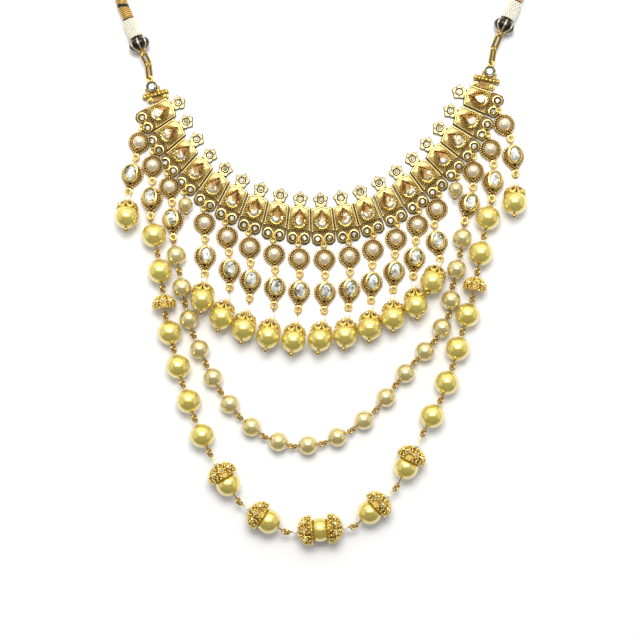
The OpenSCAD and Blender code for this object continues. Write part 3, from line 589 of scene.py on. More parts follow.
def relief(outline, steps, ribs=0, twist=0.0, vein=0.0, gap_shade=0.7):
    """A solid in relief from one outline. Each step is (inset, height, patina and painted shade, rib
    depth, vein), where the last two may be left out, and becomes a ring of the outline at that inset and
    height. Ribs draw the ring in by half of one minus the cosine of their count round the outline,
    turned from ring to ring by the twist. The gap shade darkens it between them, painted shade in the
    gaps. A vein, given point by point, lowers the ring as its step says and darkens it with painted
    shade in the groove."""
    steps = np.array([(*step, 0, 0)[:5] for step in steps], float)
    inset, height, shade_and_patina, rib, veined = steps.T[..., None]
    flat = np.stack([outline(step) for step in inset[:, 0]])
    ahead = np.roll(flat, -1, 1) - np.roll(flat, 1, 1)
    normal = np.stack([ahead[..., 1], -ahead[..., 0]], -1)
    normal /= np.maximum(np.linalg.norm(normal, axis=-1), 1e-6)[..., None]
    sides = np.linalg.norm(np.diff(np.vstack([flat[0], flat[0, :1]]), axis=0), axis=1)
    share = np.concatenate([[0], np.cumsum(sides)[:-1]]) / sides.sum()
    wave = 0.5 - 0.5 * np.cos(2 * np.pi * ribs * share + twist * height)
    flat = flat - (rib * wave)[..., None] * normal
    deep = veined * np.broadcast_to(vein, flat.shape[1])
    # Painted shade: each step's darkening, more between the ribs and in the veins.
    patina_and_painted_light = np.clip(shade_and_patina + gap_shade * wave**2 * (rib > 0) + deep, 0, 1)
    return shell(np.concatenate([flat, (height - 0.3 * deep)[..., None]], -1), patina_and_painted_light)


def ball(radius, middle, around=12, rows=7, patina_and_painted_light=0.0):
    """A small solid sphere: rings at equal steps of latitude."""
    points, *rest = turned(arc(radius, 0.06, rows), around, patina_and_painted_light)
    return points[:, [1, 2, 0]] + middle, *rest


collar_radius = 69.4
panels = range(1, 20)
panel_no = np.array(panels)
panel_angle = np.radians(1.3 + 7.8 * (panel_no - 10) + 0.3 * np.maximum(0, panel_no - 12))
bow_radius = collar_radius - 2.4 * np.sin(2 * panel_angle) ** 2 * np.where(panel_angle > 0, 1, -0.3)
panel_mid = np.array([-1.07, 90.4]) + bow_radius[:, None] * np.stack(
    [np.sin(panel_angle), -np.cos(panel_angle)], -1)
panel_turn = 7.2 * (panel_no - 10) + 4.5
hang_local = np.stack([-2.3 * np.sin(np.radians(panel_turn)),
    -9.3 - 1.1 * np.cos(np.radians(panel_turn))], -1)


def spun(degrees):
    """The matrix that turns the table's plane by an angle."""
    return np.roll(rolled(degrees), -1, (0, 1))


def seat_of(panel):
    """A panel's own axes and its middle on the table."""
    return spun(panel_turn[panel - 1]), np.array([*panel_mid[panel - 1], 0])


def half_width(y):
    """Half of the plate's width, which narrows towards the flower so that the panels fan round."""
    return (2 * collar_radius * np.sin(np.radians(3.9)) - 0.5 - 2 * y * np.tan(np.radians(3.6))) / 2


petal_angle = turns(150)
petal_off = np.abs((petal_angle * 2.5 / np.pi - 1.25 + 0.5) % 1 - 0.5) * 2


def flower_at(inset):
    """The flower's outline at an inset: five round petals by the cosine of the angle off each petal's
    middle, each drawn out to a small point by a squared ramp, with sharp notches between."""
    reach = 2.25 - 0.8 * inset + 0.6 * np.cos(np.pi / 2 * petal_off)
    reach = reach + (0.32 - 0.2 * inset) * np.maximum(0, 1 - petal_off / 0.4) ** 2
    return reach[:, None] * np.stack([np.cos(petal_angle), np.sin(petal_angle)], -1)


tear_turn = spun(90)
tear_shift = (0, -0.7, 0)
flower_y = 8.5
# Painted shade: the dark flange round the plate's edges and the dark groove inside its border stand for
# the shade there.
plate = relief(
    edge_at([(-half_width(-4.1), -4.1), (half_width(-4.1), -4.1), (half_width(4.9), 4.9),
        (0, 6.1), (-half_width(4.9), 4.9)], 8),
    [(-0.08, 0.02, 0.7), (-0.18, 0.2, 0.7), (-0.18, 0.85, 1), (0.02, 0.95, 1),
        (0.06, 1.5, 0.25), (0.16, 1.7, 0), (0.45, 1.74, 0), (0.55, 1.45, 0.9),
        (0.72, 1.45, 0.8), (0.86, 1.54, 0.04)])
foot_side = [(-4.75, -3.7), (-4.95, -6.0), (-4.75, -8.8), (-3.3, -10.1), (-1.8, -10.1), (-0.9, -8.9)]
# Painted shade: the foot is dark all over, for the shade under the plates round the collets.
foot = relief(
    edge_at(foot_side + [(-x, y) for x, y in reversed(foot_side)], 4),
    [(0.1, 0.02, 1), (0, 0.2, 1), (0, 0.7, 0.9), (0.2, 0.9, 0.8), (0.5, 0.95, 0.84)])
# Painted shade: a dark flange outlines the flower, and the petals darken along the veins between them.
flower = moved([relief(flower_at,
    [(0.1, 0.3, 0.6), (-0.2, 0.5, 0.5), (-0.2, 0.85, 0.6), (-0.1, 0.97, 1),
        (0.14, 1.05, 1), (0.18, 1.5, 0.4, 0, 0.5), (0.3, 1.68, 0, 0, 0.6), (0.5, 1.68, 0, 0, 0.7),
        (0.7, 1.52, 0.2, 0, 0.5), (1.1, 1.48, 0.05, 0, 0.1)],
    vein=np.exp(-(((1 - petal_off) / 0.1) ** 2)))], 0, flower_y, 0)
flower_eye = moved([relief(round_at(1.7, 60),
    [(0.1, 0.4, 1), (0, 0.6, 1), (0, 1.5, 1), (0.2, 1.75, 1, 0.1), (0.4, 2, 0.75, 0.14),
        (0.52, 2, 0.75, 0.05), (0.62, 1.4, 1)], 10)], 0, flower_y, 0)
bridge = relief(edge_at([(-1.05, 5.2), (1.05, 5.2), (1.15, 7.2), (-1.15, 7.2)], 3),
    [(0.1, 0.1, 1), (-0.15, 0.3, 1), (-0.15, 0.9, 1), (0.05, 1.45, 0.3), (0.2, 1.55, 0)])
# Painted shade: the milled frame is dark between its teeth and on its low outer side.
milled = placed([relief(drop_at(4.15, 0.5, 4.95, 208),
    [(0.2, 0.3, 1), (0, 0.6, 1), (-0.12, 1.45, 0.6, 0.5), (-0.1, 1.95, 0, 0.7),
        (0.3, 2.35, 0, 0.6), (0.8, 2.6, 0, 0.4), (1.06, 2.45, 0.4, 0.12), (1.14, 1.9, 1)],
    26, gap_shade=1.3)],
    tear_turn, tear_shift)
# Painted shade: the wall is dark at its foot and down its inner side.
tear_wall = placed([relief(drop_at(3.12, 0.6, 4.5, 80),
    [(0.1, 1.2, 1), (0, 1.5, 0.8), (0, 2.5, 0.25), (0.05, 2.85, 0), (0.14, 2.92, 0),
        (0.24, 2.82, 0.1), (0.3, 2.5, 0.5), (0.34, 2.1, 0.9)])], tear_turn, tear_shift)
# Painted shade: each collet is dark at its foot and inside its rim.
collet = relief(round_at(2.12, 36),
    [(0.15, 0.1, 1), (0.05, 0.3, 1), (0, 1.5, 0.9), (0.06, 2.05, 0.3), (0.16, 2.26, 0),
        (0.4, 2.3, 0), (0.56, 2.05, 0.5), (0.66, 1.5, 1)])


def cut_stone(outline, steps):
    """A cut stone: flat facets between a few rings of one outline, closed by its flat table. The marks
    alternate from corner to corner and from ring to ring, so that facets differ in depth of tone, as
    painted glints and dark reflections."""
    points, quads, fans, marks = relief(outline, [(*step, 0) for step in steps])
    around = (len(points) - 2) // len(steps)
    here = np.arange(len(points))
    marks = np.where(here < len(points) - 2, (here // around + here % around) % 2, 0.3)
    return points, quads, fans, marks


small_stone = [cut_stone(round_at(1.1, 9), [(0.5, -0.5), (0, 0.0), (0.02, 0.12), (0.42, 0.5)])]


def facets(tree, scale):
    """A random number for each Voronoi cell of the size of a facet."""
    cells = texture(tree, "ShaderNodeTexVoronoi", scale)
    apart = tree.nodes.new("ShaderNodeSeparateColor")
    feed(tree, apart, {0: cells.outputs["Color"]})
    return apart.outputs[0]


def clear_cut(name, body, deep, rough, power):
    """Foil-backed glass stone: it mirrors the room over a silver foil. Each Voronoi cell of the size of
    a facet has its own random depth of tone, raised to a power and weighed by the mesh's own marks, so
    that the pale body colour and the deep one paint glints and dark reflections on the facets."""
    material, tree, shader = fresh(name)
    share = sums(tree, "POWER", facets(tree, 750), power)
    share = sums(tree, "MULTIPLY", share, sums(tree, "MULTIPLY_ADD", mark_of(tree, "patina_and_painted_light"), 1.3, 0.45))
    share = sums(tree, "MINIMUM", share, 1.0)
    feed(tree, shader, {"Base Color": blend_of(tree, share, body, deep), "Metallic": 0.55,
        "Roughness": rough, "Coat Weight": 1.0, "Coat Roughness": 0.02})
    return material


panel_gold = gilt("pale struck gold", "D8C07A", "50300A", 0.38, 0.62, 700.0)
flower_gold = gilt("pale flower gold", "F0E2AC", "5A3A10", 0.4, 0.6, 700.0)
rib_gold = gilt("milled gold", "EACE78", "42260A", 0.24, metallic=0.75)
small_glass = clear_cut("small clear stone", "FFFFF6", "5A5430", 0.06, 1.2)
setting_place = {}


def clear_of(skins, places, radius):
    """Where a neighbour's setting stands in the way, the metal gives way to it: points inside the
    setting's circle move straight out to its edge. A collet whose middle is inside is left off."""
    kept = []
    for p, q, t, m in skins:
        p = p.copy()
        lost = False
        for x, y in places:
            away = p[:, :2] - [x, y]
            reach = np.maximum(np.linalg.norm(away, axis=1), 1e-6)
            lost = lost or np.hypot(*(p[:, :2].mean(0) - [x, y])) < radius * 0.8
            inside = reach < radius
            p[inside, :2] = np.array([x, y]) + away[inside] * (radius / reach[inside])[:, None]
        if not lost:
            kept.append((p, q, t, m))
    return kept


# The drops hang by their own joints from the panels: panel, swing of the pearl setting, swing of the
# oval one, the side that it leans to, swing of the pin, and the pin's extra length.
full_drops = [
    (1, -12, -12, 1, 0, -0.8), (5, 3, -1, -1, -4, -0.7), (6, 7, 1, -1, -15, 1.3),
    (7, 4, -2, -1, -11, 1.5), (8, 4, -2, -1, -11, 1.5), (9, 3, -3, -1, -9, 1.5),
    (10, 3, -2, -1, -9, 0.6), (11, 2, -3, -1, -7, 0.3), (12, -2, -2, -1, -4, 0),
    (13, -4, -3, -1, -1, 0.2), (14, -6, -4, -1, 4, 0.8), (15, -9, 10, -1, -23, -1.2),
    (19, 24, 7, -1, -5, 0.8),
]
strand_drops = [(2, -1, -2, 1), (3, 10, 2, 1), (17, -1, -15, -1), (18, 12, -5, -1)]
lone_drops = [(4, 8), (16, -9)]


def hang_joint(panel):
    """Where the loop under a panel meets the first ring of its drop."""
    axes, middle = seat_of(panel)
    return middle + axes @ np.array([*hang_local[panel - 1], joint_height])


pearl_link = 12.75
oval_link = 14.6


def pearl_joint(drop):
    """The joint below a pearl setting, the setting's length down its swing."""
    return hung(hang_joint(drop[0]), drop[1], pearl_link)


def oval_joint(drop, rise=0.0):
    """The joint below an oval setting, its length down its swing, lifted where a strand hangs on it."""
    return hung(pearl_joint(drop), drop[2], oval_link, rise)


all_drops = full_drops + strand_drops
pearl_middle = 5.475
metal_room = 4.7
stone_room = 4.2
for drop in all_drops:
    axes, base = aim(hang_joint(drop[0]), pearl_joint(drop))
    setting_place[drop[0]] = (base + pearl_middle * axes[:, 0])[:2]

panel_gems = []
for panel in panels:
    axes, middle = seat_of(panel)
    upward = axes[1]
    clear_middle = 6 <= panel <= 14
    near = [setting_place[n] for n in (panel - 1, panel + 1) if n in setting_place and not clear_middle]
    ring_mid = np.array([*hang_local[panel - 1], 0]) + ring_out * upward
    ring = moved([loop(1.0, 0.74)], *ring_mid[:2], joint_height)
    # Painted shade: the stem is dark, most at its low sides.
    stem = relief(edge_at([(-0.5, -6.6), (-0.45 + ring_mid[0], ring_mid[1] + 0.8),
        (0.45 + ring_mid[0], ring_mid[1] + 0.8), (0.5, -6.6)], 3),
        [(0.02, 1.1, 1), (0, 1.2, 1), (0, 1.6, 0.6)])
    lean = -1.1 * np.sin(np.radians(panel_turn[panel - 1]))
    collets = []
    gems = placed(small_stone, np.eye(3) * 0.85, (0, flower_y, 1.45))
    for x in (-2.4, 2.4):
        collets += moved([collet], x + 0.4 * lean, -7.45, 0)
        gems += moved(small_stone, x + 0.4 * lean, -7.45, 1.85)
    blobs = [ball(0.55, (s * (half_width(-4.1) - 0.35), -4.2, 1.45)) for s in (-1, 1)]
    blobs.append(ball(0.6, ring_mid + 0.9 * upward + [0, 0, 1.9]))
    cast, petals, ribbed, bright = [
        clear_of(placed(skins, axes, middle), near, metal_room)
        for skins in (
            [plate, foot, bridge], flower, milled + collets + flower_eye, tear_wall + [stem] + blobs)
    ]
    settled(f"struck_panel_{panel:02d}", [
        (panel_gold, cast),
        (flower_gold, petals),
        (rib_gold, ribbed),
        (bright_gold, bright + placed(ring, axes, middle)),
    ], "panel_gold", f"collar_panel_{panel:02d}")
    panel_gems += clear_of(placed(gems, axes, middle), near, stone_room)
settled("panel_side_stones", [(small_glass, panel_gems)], "clear_stone", crease=0)


# The tear stones: one faceted amber glass on each panel, foiled behind. The glass is rust in the pointed
# end, and its round end is painted pale, nearly white, as a highlight where the light gathers.
def amber_foil():
    """Amber glass over foil: the colour runs from rust through champagne to nearly white, a painted
    highlight at the round end, by the mesh's own measure along the stone, broken up by a facet-sized
    Voronoi pattern into painted facet glints."""
    material, tree, shader = fresh("amber foiled glass")
    broken = sums(tree, "SUBTRACT", facets(tree, 520), 0.5)
    share = sums(tree, "MULTIPLY_ADD", broken, 0.55, mark_of(tree, "patina_and_painted_light"))
    ramp = tree.nodes.new("ShaderNodeValToRGB")
    feed(tree, ramp, {0: share})
    first, last = ramp.color_ramp.elements
    first.color = paint("FFFDF2")
    last.color = paint("8A581C")
    last.position = 0.9
    for spot, code in ((0.24, "FFF2CC"), (0.36, "B09C58"), (0.5, "C08A40")):
        ramp.color_ramp.elements.new(spot).color = paint(code)
    feed(tree, shader, {
        "Base Color": ramp.outputs[0], "Metallic": 0.8, "Roughness": 0.06, "Coat Weight": 1.0})
    return material


amber = cut_stone(drop_at(2.76, 0.25, 4.5, 16),
    [(0.3, 2.2), (0, 2.6), (0.05, 2.8), (0.65, 3.4), (1.4, 3.7)])
# Painted highlight: the share is least at the round end, which the ramp paints nearly white, and it
# steps from facet to facet as painted glints.
amber_glare_share = np.clip((amber[0][:, 0] + 2.3) / 7.6 + 0.3 * (amber[3] - 0.5), 0, 1)
amber = placed([(*amber[:3], amber_glare_share)], tear_turn, tear_shift)
ambers = []
for panel in panels:
    ambers += placed(amber, *seat_of(panel))
settled("tear_glass", [(amber_foil(), ambers)], "amber_stone", "tear_stones", crease=0)


# The half-pearl settings: the first link of each drop. A cast frame with two rows of slanting ribs
# narrows to a plain loop, and a half pearl is glued in its cup.
def link_frame(middle, tail, width):
    """The frame that both settings share: a ribbed tear from the middle towards the loop, a second
    ribbed row inside it, the loop, the neck and the upright ring above."""
    # Painted shade: the frames are dark between their ribs, at their feet and down their inner walls.
    outer = relief(drop_at(width + 0.2, 1.4, tail - 2.0, 168),
        [(0.3, 0.05, 0.9, 0.8), (0.05, 0.3, 0.3, 0.95), (-0.12, 1, 0, 1), (-0.06, 1.4, 0, 0.95),
            (0.2, 1.66, 0, 0.85), (0.62, 1.8, 0, 0.5), (0.86, 1.74, 0.3, 0.1), (0.98, 1.4, 1)],
        28, 0.25, gap_shade=1.35)
    lace = relief(drop_at(width - 0.9, 0.8, tail - 2.7, 132),
        [(0.1, 1.2, 1), (0, 1.6, 0.6, 0.2), (0.02, 2.1, 0, 0.45), (0.18, 2.35, 0, 0.45),
            (0.5, 2.5, 0, 0.3), (0.74, 2.4, 0.1, 0.1), (0.84, 1.5, 1)], 22, -0.6, gap_shade=1.2)
    bow = moved([loop(1.2, 0.95, around=32)], middle + tail, 0, joint_height)
    far = middle - width + 0.4
    neck = relief(edge_at([(1.2, -0.45), (far, -0.6), (far, 0.6), (1.2, 0.45)], 3),
        [(0.05, 1, 1), (0, 1.2, 0.8), (0, 1.6, 0.2), (0.15, 1.75, 0)])
    return moved([outer, lace], middle, 0, 0) + bow + [neck] + upright_ring(joint_height)


setting_gold = gilt("cast gold", "F6D27C", "3E1E06", 0.24, metallic=0.75)
cast = link_frame(pearl_middle, 6.4, 4.45)
# Painted shade: the cup is dark at its foot and down its inner side.
cup = moved([relief(round_at(3.15, 48),
    [(0.05, 1.3, 1), (0, 1.6, 0.8), (0, 2.15, 0.2), (0.12, 2.3, 0), (0.26, 2.2, 0.1),
        (0.36, 1.7, 0.9)])], pearl_middle, 0, 0)
casts, plains, halves = [], [], []
dome_turn = np.linspace(0.0, 0.49, 12) * np.pi
dome = np.stack([2.5 * np.sin(dome_turn), 2.78 * np.cos(dome_turn)], -1)
dome = turned(np.vstack([[(-0.1, 2.6), (0.0, 2.76)], dome[1:]]), 40)
dome = [(dome[0][:, [1, 2, 0]] * [1, 1, 0.95] + [pearl_middle, 0, 1.5], *dome[1:])]
for drop in all_drops:
    axes, base = aim(hang_joint(drop[0]), pearl_joint(drop))
    for target, source in ((casts, cast), (plains, cup), (halves, dome)):
        target += placed(source, axes, base * [1, 1, 0])
settled("pearl_frames", [(setting_gold, casts), (bright_gold, plains)], "setting_gold", "pearl_settings")


def nacre(name, body, low, edge, coat, metallic):
    """Glass pearl under nacre lacquer: a body colour clouded by slow noise, that turns deeper towards
    its outline as seen, painted edge shade, and a clear lustre coat above."""
    material, tree, shader = fresh(name)
    cloud = texture(tree, "ShaderNodeTexNoise", 260)
    feed(tree, cloud, {"Detail": 2})
    clouded = blend_of(tree, sums(tree, "MULTIPLY_ADD", cloud.outputs[0], 1.2, -0.2), body, low)
    # Painted shade: the colour is deeper towards the outline as seen.
    rim = tree.nodes.new("ShaderNodeLayerWeight")
    feed(tree, rim, {0: 0.35})
    share = sums(tree, "MULTIPLY", rim.outputs["Facing"], 0.55)
    feed(tree, shader, {"Base Color": blend_of(tree, share, clouded, edge), "Metallic": metallic,
        "Roughness": 0.22, "Coat Weight": coat, "Coat Roughness": 0.12, "Coat IOR": 2.2})
    raised(tree, shader, cloud.outputs[0], 0.35, 0.0003)
    return material


pink_nacre = nacre("white pink nacre", "F6E6C6", "D6C29A", "AC925A", 0.9, 0.5)
settled("half_pearl_domes", [(pink_nacre, halves)], "pink_pearl", "half_pearls", crease=60.0)


# The oval settings: the second link. A tall plain bezel is soldered a little askew on the same kind of
# ribbed frame, and holds a clear oval stone over foil.
cast = link_frame(6.325, 7.4, 4.45)
askew = rolled(-10)
bezel_middle = (6.025, 0, 0.3)
# Painted shade: the bezel is dark at its foot and down its inner wall.
bezel = placed([relief(round_at(3.95, 56, 0.78),
    [(0.15, 1, 1), (0.05, 1.4, 0.8), (0, 2.2, 0.1), (0.02, 3.2, 0), (0.14, 3.55, 0),
        (0.36, 3.62, 0), (0.62, 3.4, 0.1), (0.82, 2.9, 0.6), (0.9, 2.4, 1)])],
    askew, bezel_middle)
oval_cut = placed([cut_stone(round_at(3.12, 16, 0.72),
    [(0.4, 2.3), (0, 2.75), (0.02, 2.9), (0.5, 3.45), (1.1, 3.75)])],
    askew, bezel_middle)
casts, plains, ovals = [], [], []
inner_rise = 1.775
outer_rise = 2.575
oval_places = [(drop, 0.0) for drop in full_drops] + list(
    zip(strand_drops, (outer_rise, inner_rise, inner_rise, outer_rise)))
for drop, rise in oval_places:
    axes, base = aim(pearl_joint(drop), oval_joint(drop, rise))
    flip = np.diag([1.0, -1.0 if drop[3] > 0 else 1.0, 1.0])
    for target, source in ((casts, cast), (plains, bezel), (ovals, oval_cut)):
        target += placed(source, axes @ flip, base - joint_height * axes[:, 2])
settled("oval_frames", [(setting_gold, casts), (bright_gold, plains)], "setting_gold", "oval_settings")
clear_glass = clear_cut("clear foiled glass", "FFFFFA", "70745C", 0.05, 2.2)
settled("oval_glass", [(clear_glass, ovals)], "clear_stone", "oval_stones", crease=0)


# The pins: each drop's pearl hangs on a gold head pin, a ring at its top and a ball at its foot, with
# a clear seed bead above the cap.
def pin(length):
    """A head pin along X: an upright ring, a straight wire and a ball below the pearl."""
    stem = turned([(1.5, 0.2), (1.55, 0.24), (length, 0.24), (length + 0.1, 0.2)], 10)
    return [stem] + upright_ring() + [ball(0.92, (length - 0.05, 0, 0), 20, 11)]


def pearl_of(diameter, seed_no):
    """A drilled pearl about the X axis: a sphere's profile, a hair out of round by two slow waves, with
    the drill hole's dimple at each end."""
    r = diameter / 2
    profile = np.vstack([[-r * 0.93, 0.28], arc(r, 0.05, 25), [r * 0.93, 0.28]])
    angle = turns(40)
    wave = 0.994 + 0.004 * np.cos(2 * angle + seed_no) + 0.003 * np.cos(3 * angle - seed_no)
    patina_and_painted_light = np.zeros(len(profile))
    patina_and_painted_light[[0, -1]] = 1
    return [turned(profile, 40, patina_and_painted_light[:, None], wave)]


def petal_cap(rim, height, seat, petals):
    """A petalled cap over a pearl, about X: a dome whose radius is rim times cosine and whose height is
    sine. Each petal's edge runs on over the pearl, its border stands up and its middle is sunk."""
    rows = np.linspace(1, 0, 13)
    angle = turns(petals * 12)
    across = np.abs(((angle * petals / (2 * np.pi)) % 1) * 2 - 1)
    lift = np.radians(78) * rows
    border = np.exp(-((across - 0.72) / 0.16) ** 2) + 0.8 * np.exp(-((rows[:, None] - 0.12) / 0.09) ** 2)
    seam = np.exp(-((1 - across) / 0.1) ** 2)
    hollow = np.exp(-((across / 0.5) ** 4)) * np.exp(-(((rows - 0.42) / 0.24) ** 4))[:, None]
    swell = 0.3 * np.clip(border, 0, 1) - 0.3 * seam - 0.35 * hollow
    scallop = 1.1 * (1 - across**2) * (1 - rows[:, None]) ** 2 - 0.7 * seam * (1 - rows[:, None]) ** 2
    radius = rim * np.cos(lift)[:, None] + swell * np.cos(lift)[:, None] ** 0.5
    along = -seat - height * np.sin(lift)[:, None] + scallop - 0.4 * swell * np.sin(lift)[:, None]
    # Painted shade: the petals' sunk middles and the seams between them are darkened, and the underside
    # is dark.
    patina_and_painted_light = np.clip(hollow * 0.85 + 0.8 * seam + 0.12 * (1 - np.clip(border, 0, 1)), 0, 1)
    rings = about_x(
        np.concatenate([along, along[::-1] + 0.25]), np.concatenate([radius, radius[::-1] * 0.86]))
    return shell(rings, np.concatenate([patina_and_painted_light, np.ones_like(patina_and_painted_light)]))


def on_dome(rim, height, seat, lift_degrees, degrees, proud):
    """A point that stands so far proud of a cap's dome, and the axes there: X across the dome, Y up
    it, Z outward."""
    lift, turn = np.radians(lift_degrees), np.radians(degrees)
    place = np.array([-seat - height * np.sin(lift), rim * np.cos(lift) * np.cos(turn),
        rim * np.cos(lift) * np.sin(turn)])
    out = np.array([-np.sin(lift) / height, np.cos(lift) * np.cos(turn) / rim,
        np.cos(lift) * np.sin(turn) / rim])
    out /= np.linalg.norm(out)
    across = np.array([0, -np.sin(turn), np.cos(turn)])
    return np.stack([across, np.cross(out, across), out], 1), place + proud * out


cap_form = (4.35, 3.4, 3.7)
cap_tip = turned([(-7.6, 0.5), (-7.4, 1.0), (-7.0, 1.15), (-6.6, 1.0), (-6.5, 0.6)], 20)
cap_metal = [petal_cap(*cap_form, 8), cap_tip]
gem = [cut_stone(round_at(0.62, 8), [(0.25, -0.2), (0, 0.0), (0.05, 0.1), (0.3, 0.32)])]
petal_gems = []
for k in range(8):
    cap_metal.append(ball(0.34, on_dome(*cap_form, 62, 45 * k + 22.5, 0.2)[1], 8, 5))
    turn, shift = on_dome(*cap_form, 26, 45 * k + 22.5, 0.1)
    petal_gems += placed(gem, turn * 0.75, shift)
long_seed = moved([seed(2.9, 1.05, 16, 9)], -9.1, 0, 0)
large_pearl = 10
lone_pearl = 6
pin_metal, drop_pearls, cap_skins, cap_gems, drop_seeds = [], [], [], [], []
for number, drop in enumerate(full_drops):
    length = 11.5 + drop[5]
    start = oval_joint(drop)
    centre = hung(start, drop[4], length, 6 - joint_height)
    axes, base = aim(start, centre)
    pin_metal += placed(pin(length + 6.0), axes, base)
    for target, source in (
        (drop_pearls, pearl_of(large_pearl, number)), (cap_skins, cap_metal), (cap_gems, petal_gems),
        (drop_seeds, long_seed),
    ):
        target += placed(source, axes, centre)
lone_pearls = []
for panel, swing in lone_drops:
    start = hang_joint(panel)
    centre = hung(start, swing, 5.2, 3.1 - joint_height)
    axes, base = aim(start, centre)
    pin_metal += placed(pin(9.2), axes, base)
    lone_pearls += placed(pearl_of(lone_pearl, panel), axes, centre)
settled("head_pins", [(wire_gold, pin_metal)], "wire_gold", "drop_pins")
gold_nacre = nacre("golden nacre", "F9E56C", "DEC242", "C8A632", 1.0, 0.62)
champagne_nacre = nacre("champagne nacre", "F0E096", "CCB464", "B69852", 1.0, 0.62)
settled("golden_drop_pearls", [(gold_nacre, drop_pearls)], "gold_pearl", "drop_pearls", crease=60.0)
settled("small_lone_pearls", [(champagne_nacre, lone_pearls)], "champagne_pearl", "lone_pearls",
    crease=60.0)
cap_gold = gilt("cap gold", "FFE07A", "5C3408", 0.18, metallic=0.82)
settled("petal_caps", [(cap_gold, cap_skins)], "bright_gold", "drop_caps")
settled("cap_stones", [(small_glass, cap_gems)], "clear_stone", crease=0)
settled("clear_seed_beads", [(white_glass, drop_seeds)], "white_beads", crease=60.0)


# The inner strand: small champagne pearls, each on its own gold eye pin, whose loops join to the next.
def eye_pin(length, last):
    """An eye pin along X: a wire with a ring at its start and one at its end, rolled half over and half
    back, so that each ring shows its opening beside the next one's."""
    stem = turned([(1.5, 0.26), (1.6, 0.32), (length - 1.6, 0.32), (length - 1.5, 0.26)], 10)
    first = placed([loop(1.1, 0.8)], rolled(45), (0.55, 0, 0))
    second = placed([loop(1.1, 0.8, last)], rolled(-45), (length - 0.55, 0, 0))
    return [stem] + first + second


def spans(joints):
    """The number, axes, start and length of each link of a strand, from joint to joint."""
    return [
        (number, *aim(start, end), np.linalg.norm(end - start))
        for number, (start, end) in enumerate(zip(joints, joints[1:]))
    ]


inner_joints = np.array([
    oval_joint(strand_drops[1], inner_rise), (-58, 0, 4.9), (-55.8, -13.2, 4), (-52.3, -25.9, 4),
    (-47.2, -37.8, 4), (-41.2, -49.1, 4), (-33.5, -59.5, 4), (-23.4, -67.7, 4), (-11.6, -71.7, 4),
    (0.8, -70.5, 4), (12.6, -65.1, 4), (22.5, -56.7, 4), (30.6, -46.4, 4), (38.4, -37, 4),
    (46.6, -28.4, 4), (52.4, -17.8, 4), (54, -5.6, 4), (57, 7.4, 4.9),
    oval_joint(strand_drops[2], inner_rise),
])
small_pearl = 8
inner_metal, inner_pearls = [], []
for number, axes, base, length in spans(inner_joints):
    inner_metal += placed(eye_pin(length, number == len(inner_joints) - 2), axes, base)
    inner_pearls += placed(pearl_of(small_pearl, number), axes, base + length / 2 * axes[:, 0])
settled("inner_eye_pins", [(wire_gold, inner_metal)], "wire_gold", "inner_strand_pins")
settled("champagne_pearls", [(champagne_nacre, inner_pearls)], "champagne_pearl",
    "inner_strand_pearls", crease=60.0)


# The outer strand: large golden pearls, five of them under wide filigree caps with clear seed beads,
# and two empty filigree domes.
outer_joints = np.array([
    oval_joint(strand_drops[0], outer_rise), (-66.8, 7.4, 6.1), (-64.8, -7.2, 5), (-63.6, -18.3, 5),
    (-60.3, -31.8, 5), (-56.6, -46.1, 5), (-51.7, -60.1, 5.3), (-45.5, -74.2, 6.3),
    (-33.6, -94.2, 6.3), (-14.4, -106.6, 6.3), (13.7, -104.2, 6.3), (30.8, -88.2, 6.3),
    (41.8, -65.8, 6.3), (49, -52.4, 5.2), (53.9, -38.7, 5), (57.9, -24.6, 5), (62, -11.1, 5),
    (64, 0, 5), (66.6, 14.7, 6.1), oval_joint(strand_drops[3], outer_rise),
])
outer_kinds = (
    ["pearl", "pearl", "left dome"] + ["pearl"] * 4 + ["first", "first", "both", "last", "last"]
    + ["pearl"] * 4 + ["right dome", "pearl", "pearl"]
)
middle_shares = {"first": 0.635, "last": 0.365, "left dome": 0.66, "right dome": 0.34}


def filigree(rim, height, seat, wall, count):
    """A filigree cap about X: a thin dome, dark outside as painted shade between the gold work and paler
    inside, a milled wire round its rim, a row of wire rings each with a stone, and rows of grains
    between. It gives the dome, the gold work and the stones."""
    lift = np.radians(np.linspace(78, 0, 10))
    outer = np.stack([-seat - height * np.sin(lift), rim * np.cos(lift)], -1)
    inner = np.stack([-seat - (height - wall) * np.sin(lift), (rim - wall) * np.cos(lift)], -1)[::-1]
    # Painted shade: the dome is dark outside, for the shade between the gold work, and paler inside.
    dome = turned(np.vstack([outer, inner]), 48, np.repeat([0.85, 0.15], 10)[:, None])
    work, stones = [], []
    edge_angle = turns(120)
    small = turns(8)
    thick = 0.38 + 0.12 * np.cos(26 * edge_angle)
    reach = rim - 0.36 + thick[:, None] * np.cos(small)
    edge = np.stack([-seat + thick[:, None] * np.sin(small),
        reach * np.cos(edge_angle)[:, None], reach * np.sin(edge_angle)[:, None]], -1)
    work.append(shell(edge, joined=True))
    for lift, number, radius, lag, proud in (
        (9, 2 * count, 0.56, 0.5, -0.25), (18, 3 * count, 0.36, 0, 0.05),
        (32, 2 * count, 0.36, 0.5, 0.1), (46, 2 * count, 0.44, 0.25, 0.12),
        (53, 2 * count, 0.32, 0.5, 0.12), (60, count, 0.5, 0, 0.12), (71, 7, 0.46, 0.5, 0.12),
        (32, count, 0.42, 0.5, 0.14),
    ):
        for k in range(number):
            spot = on_dome(rim, height, seat, lift, 360 * (k + lag) / number, proud)[1]
            work.append(ball(radius, spot, 8, 5))
    for k in range(count):
        turn, shift = on_dome(rim, height, seat, 32, 360 * k / count, 0.14)
        work += placed([loop(1.05, 0.5, around=18, inner=6)], turn, shift)
        stones += placed(gem, turn * 1.05, shift)
    return [dome], work, stones


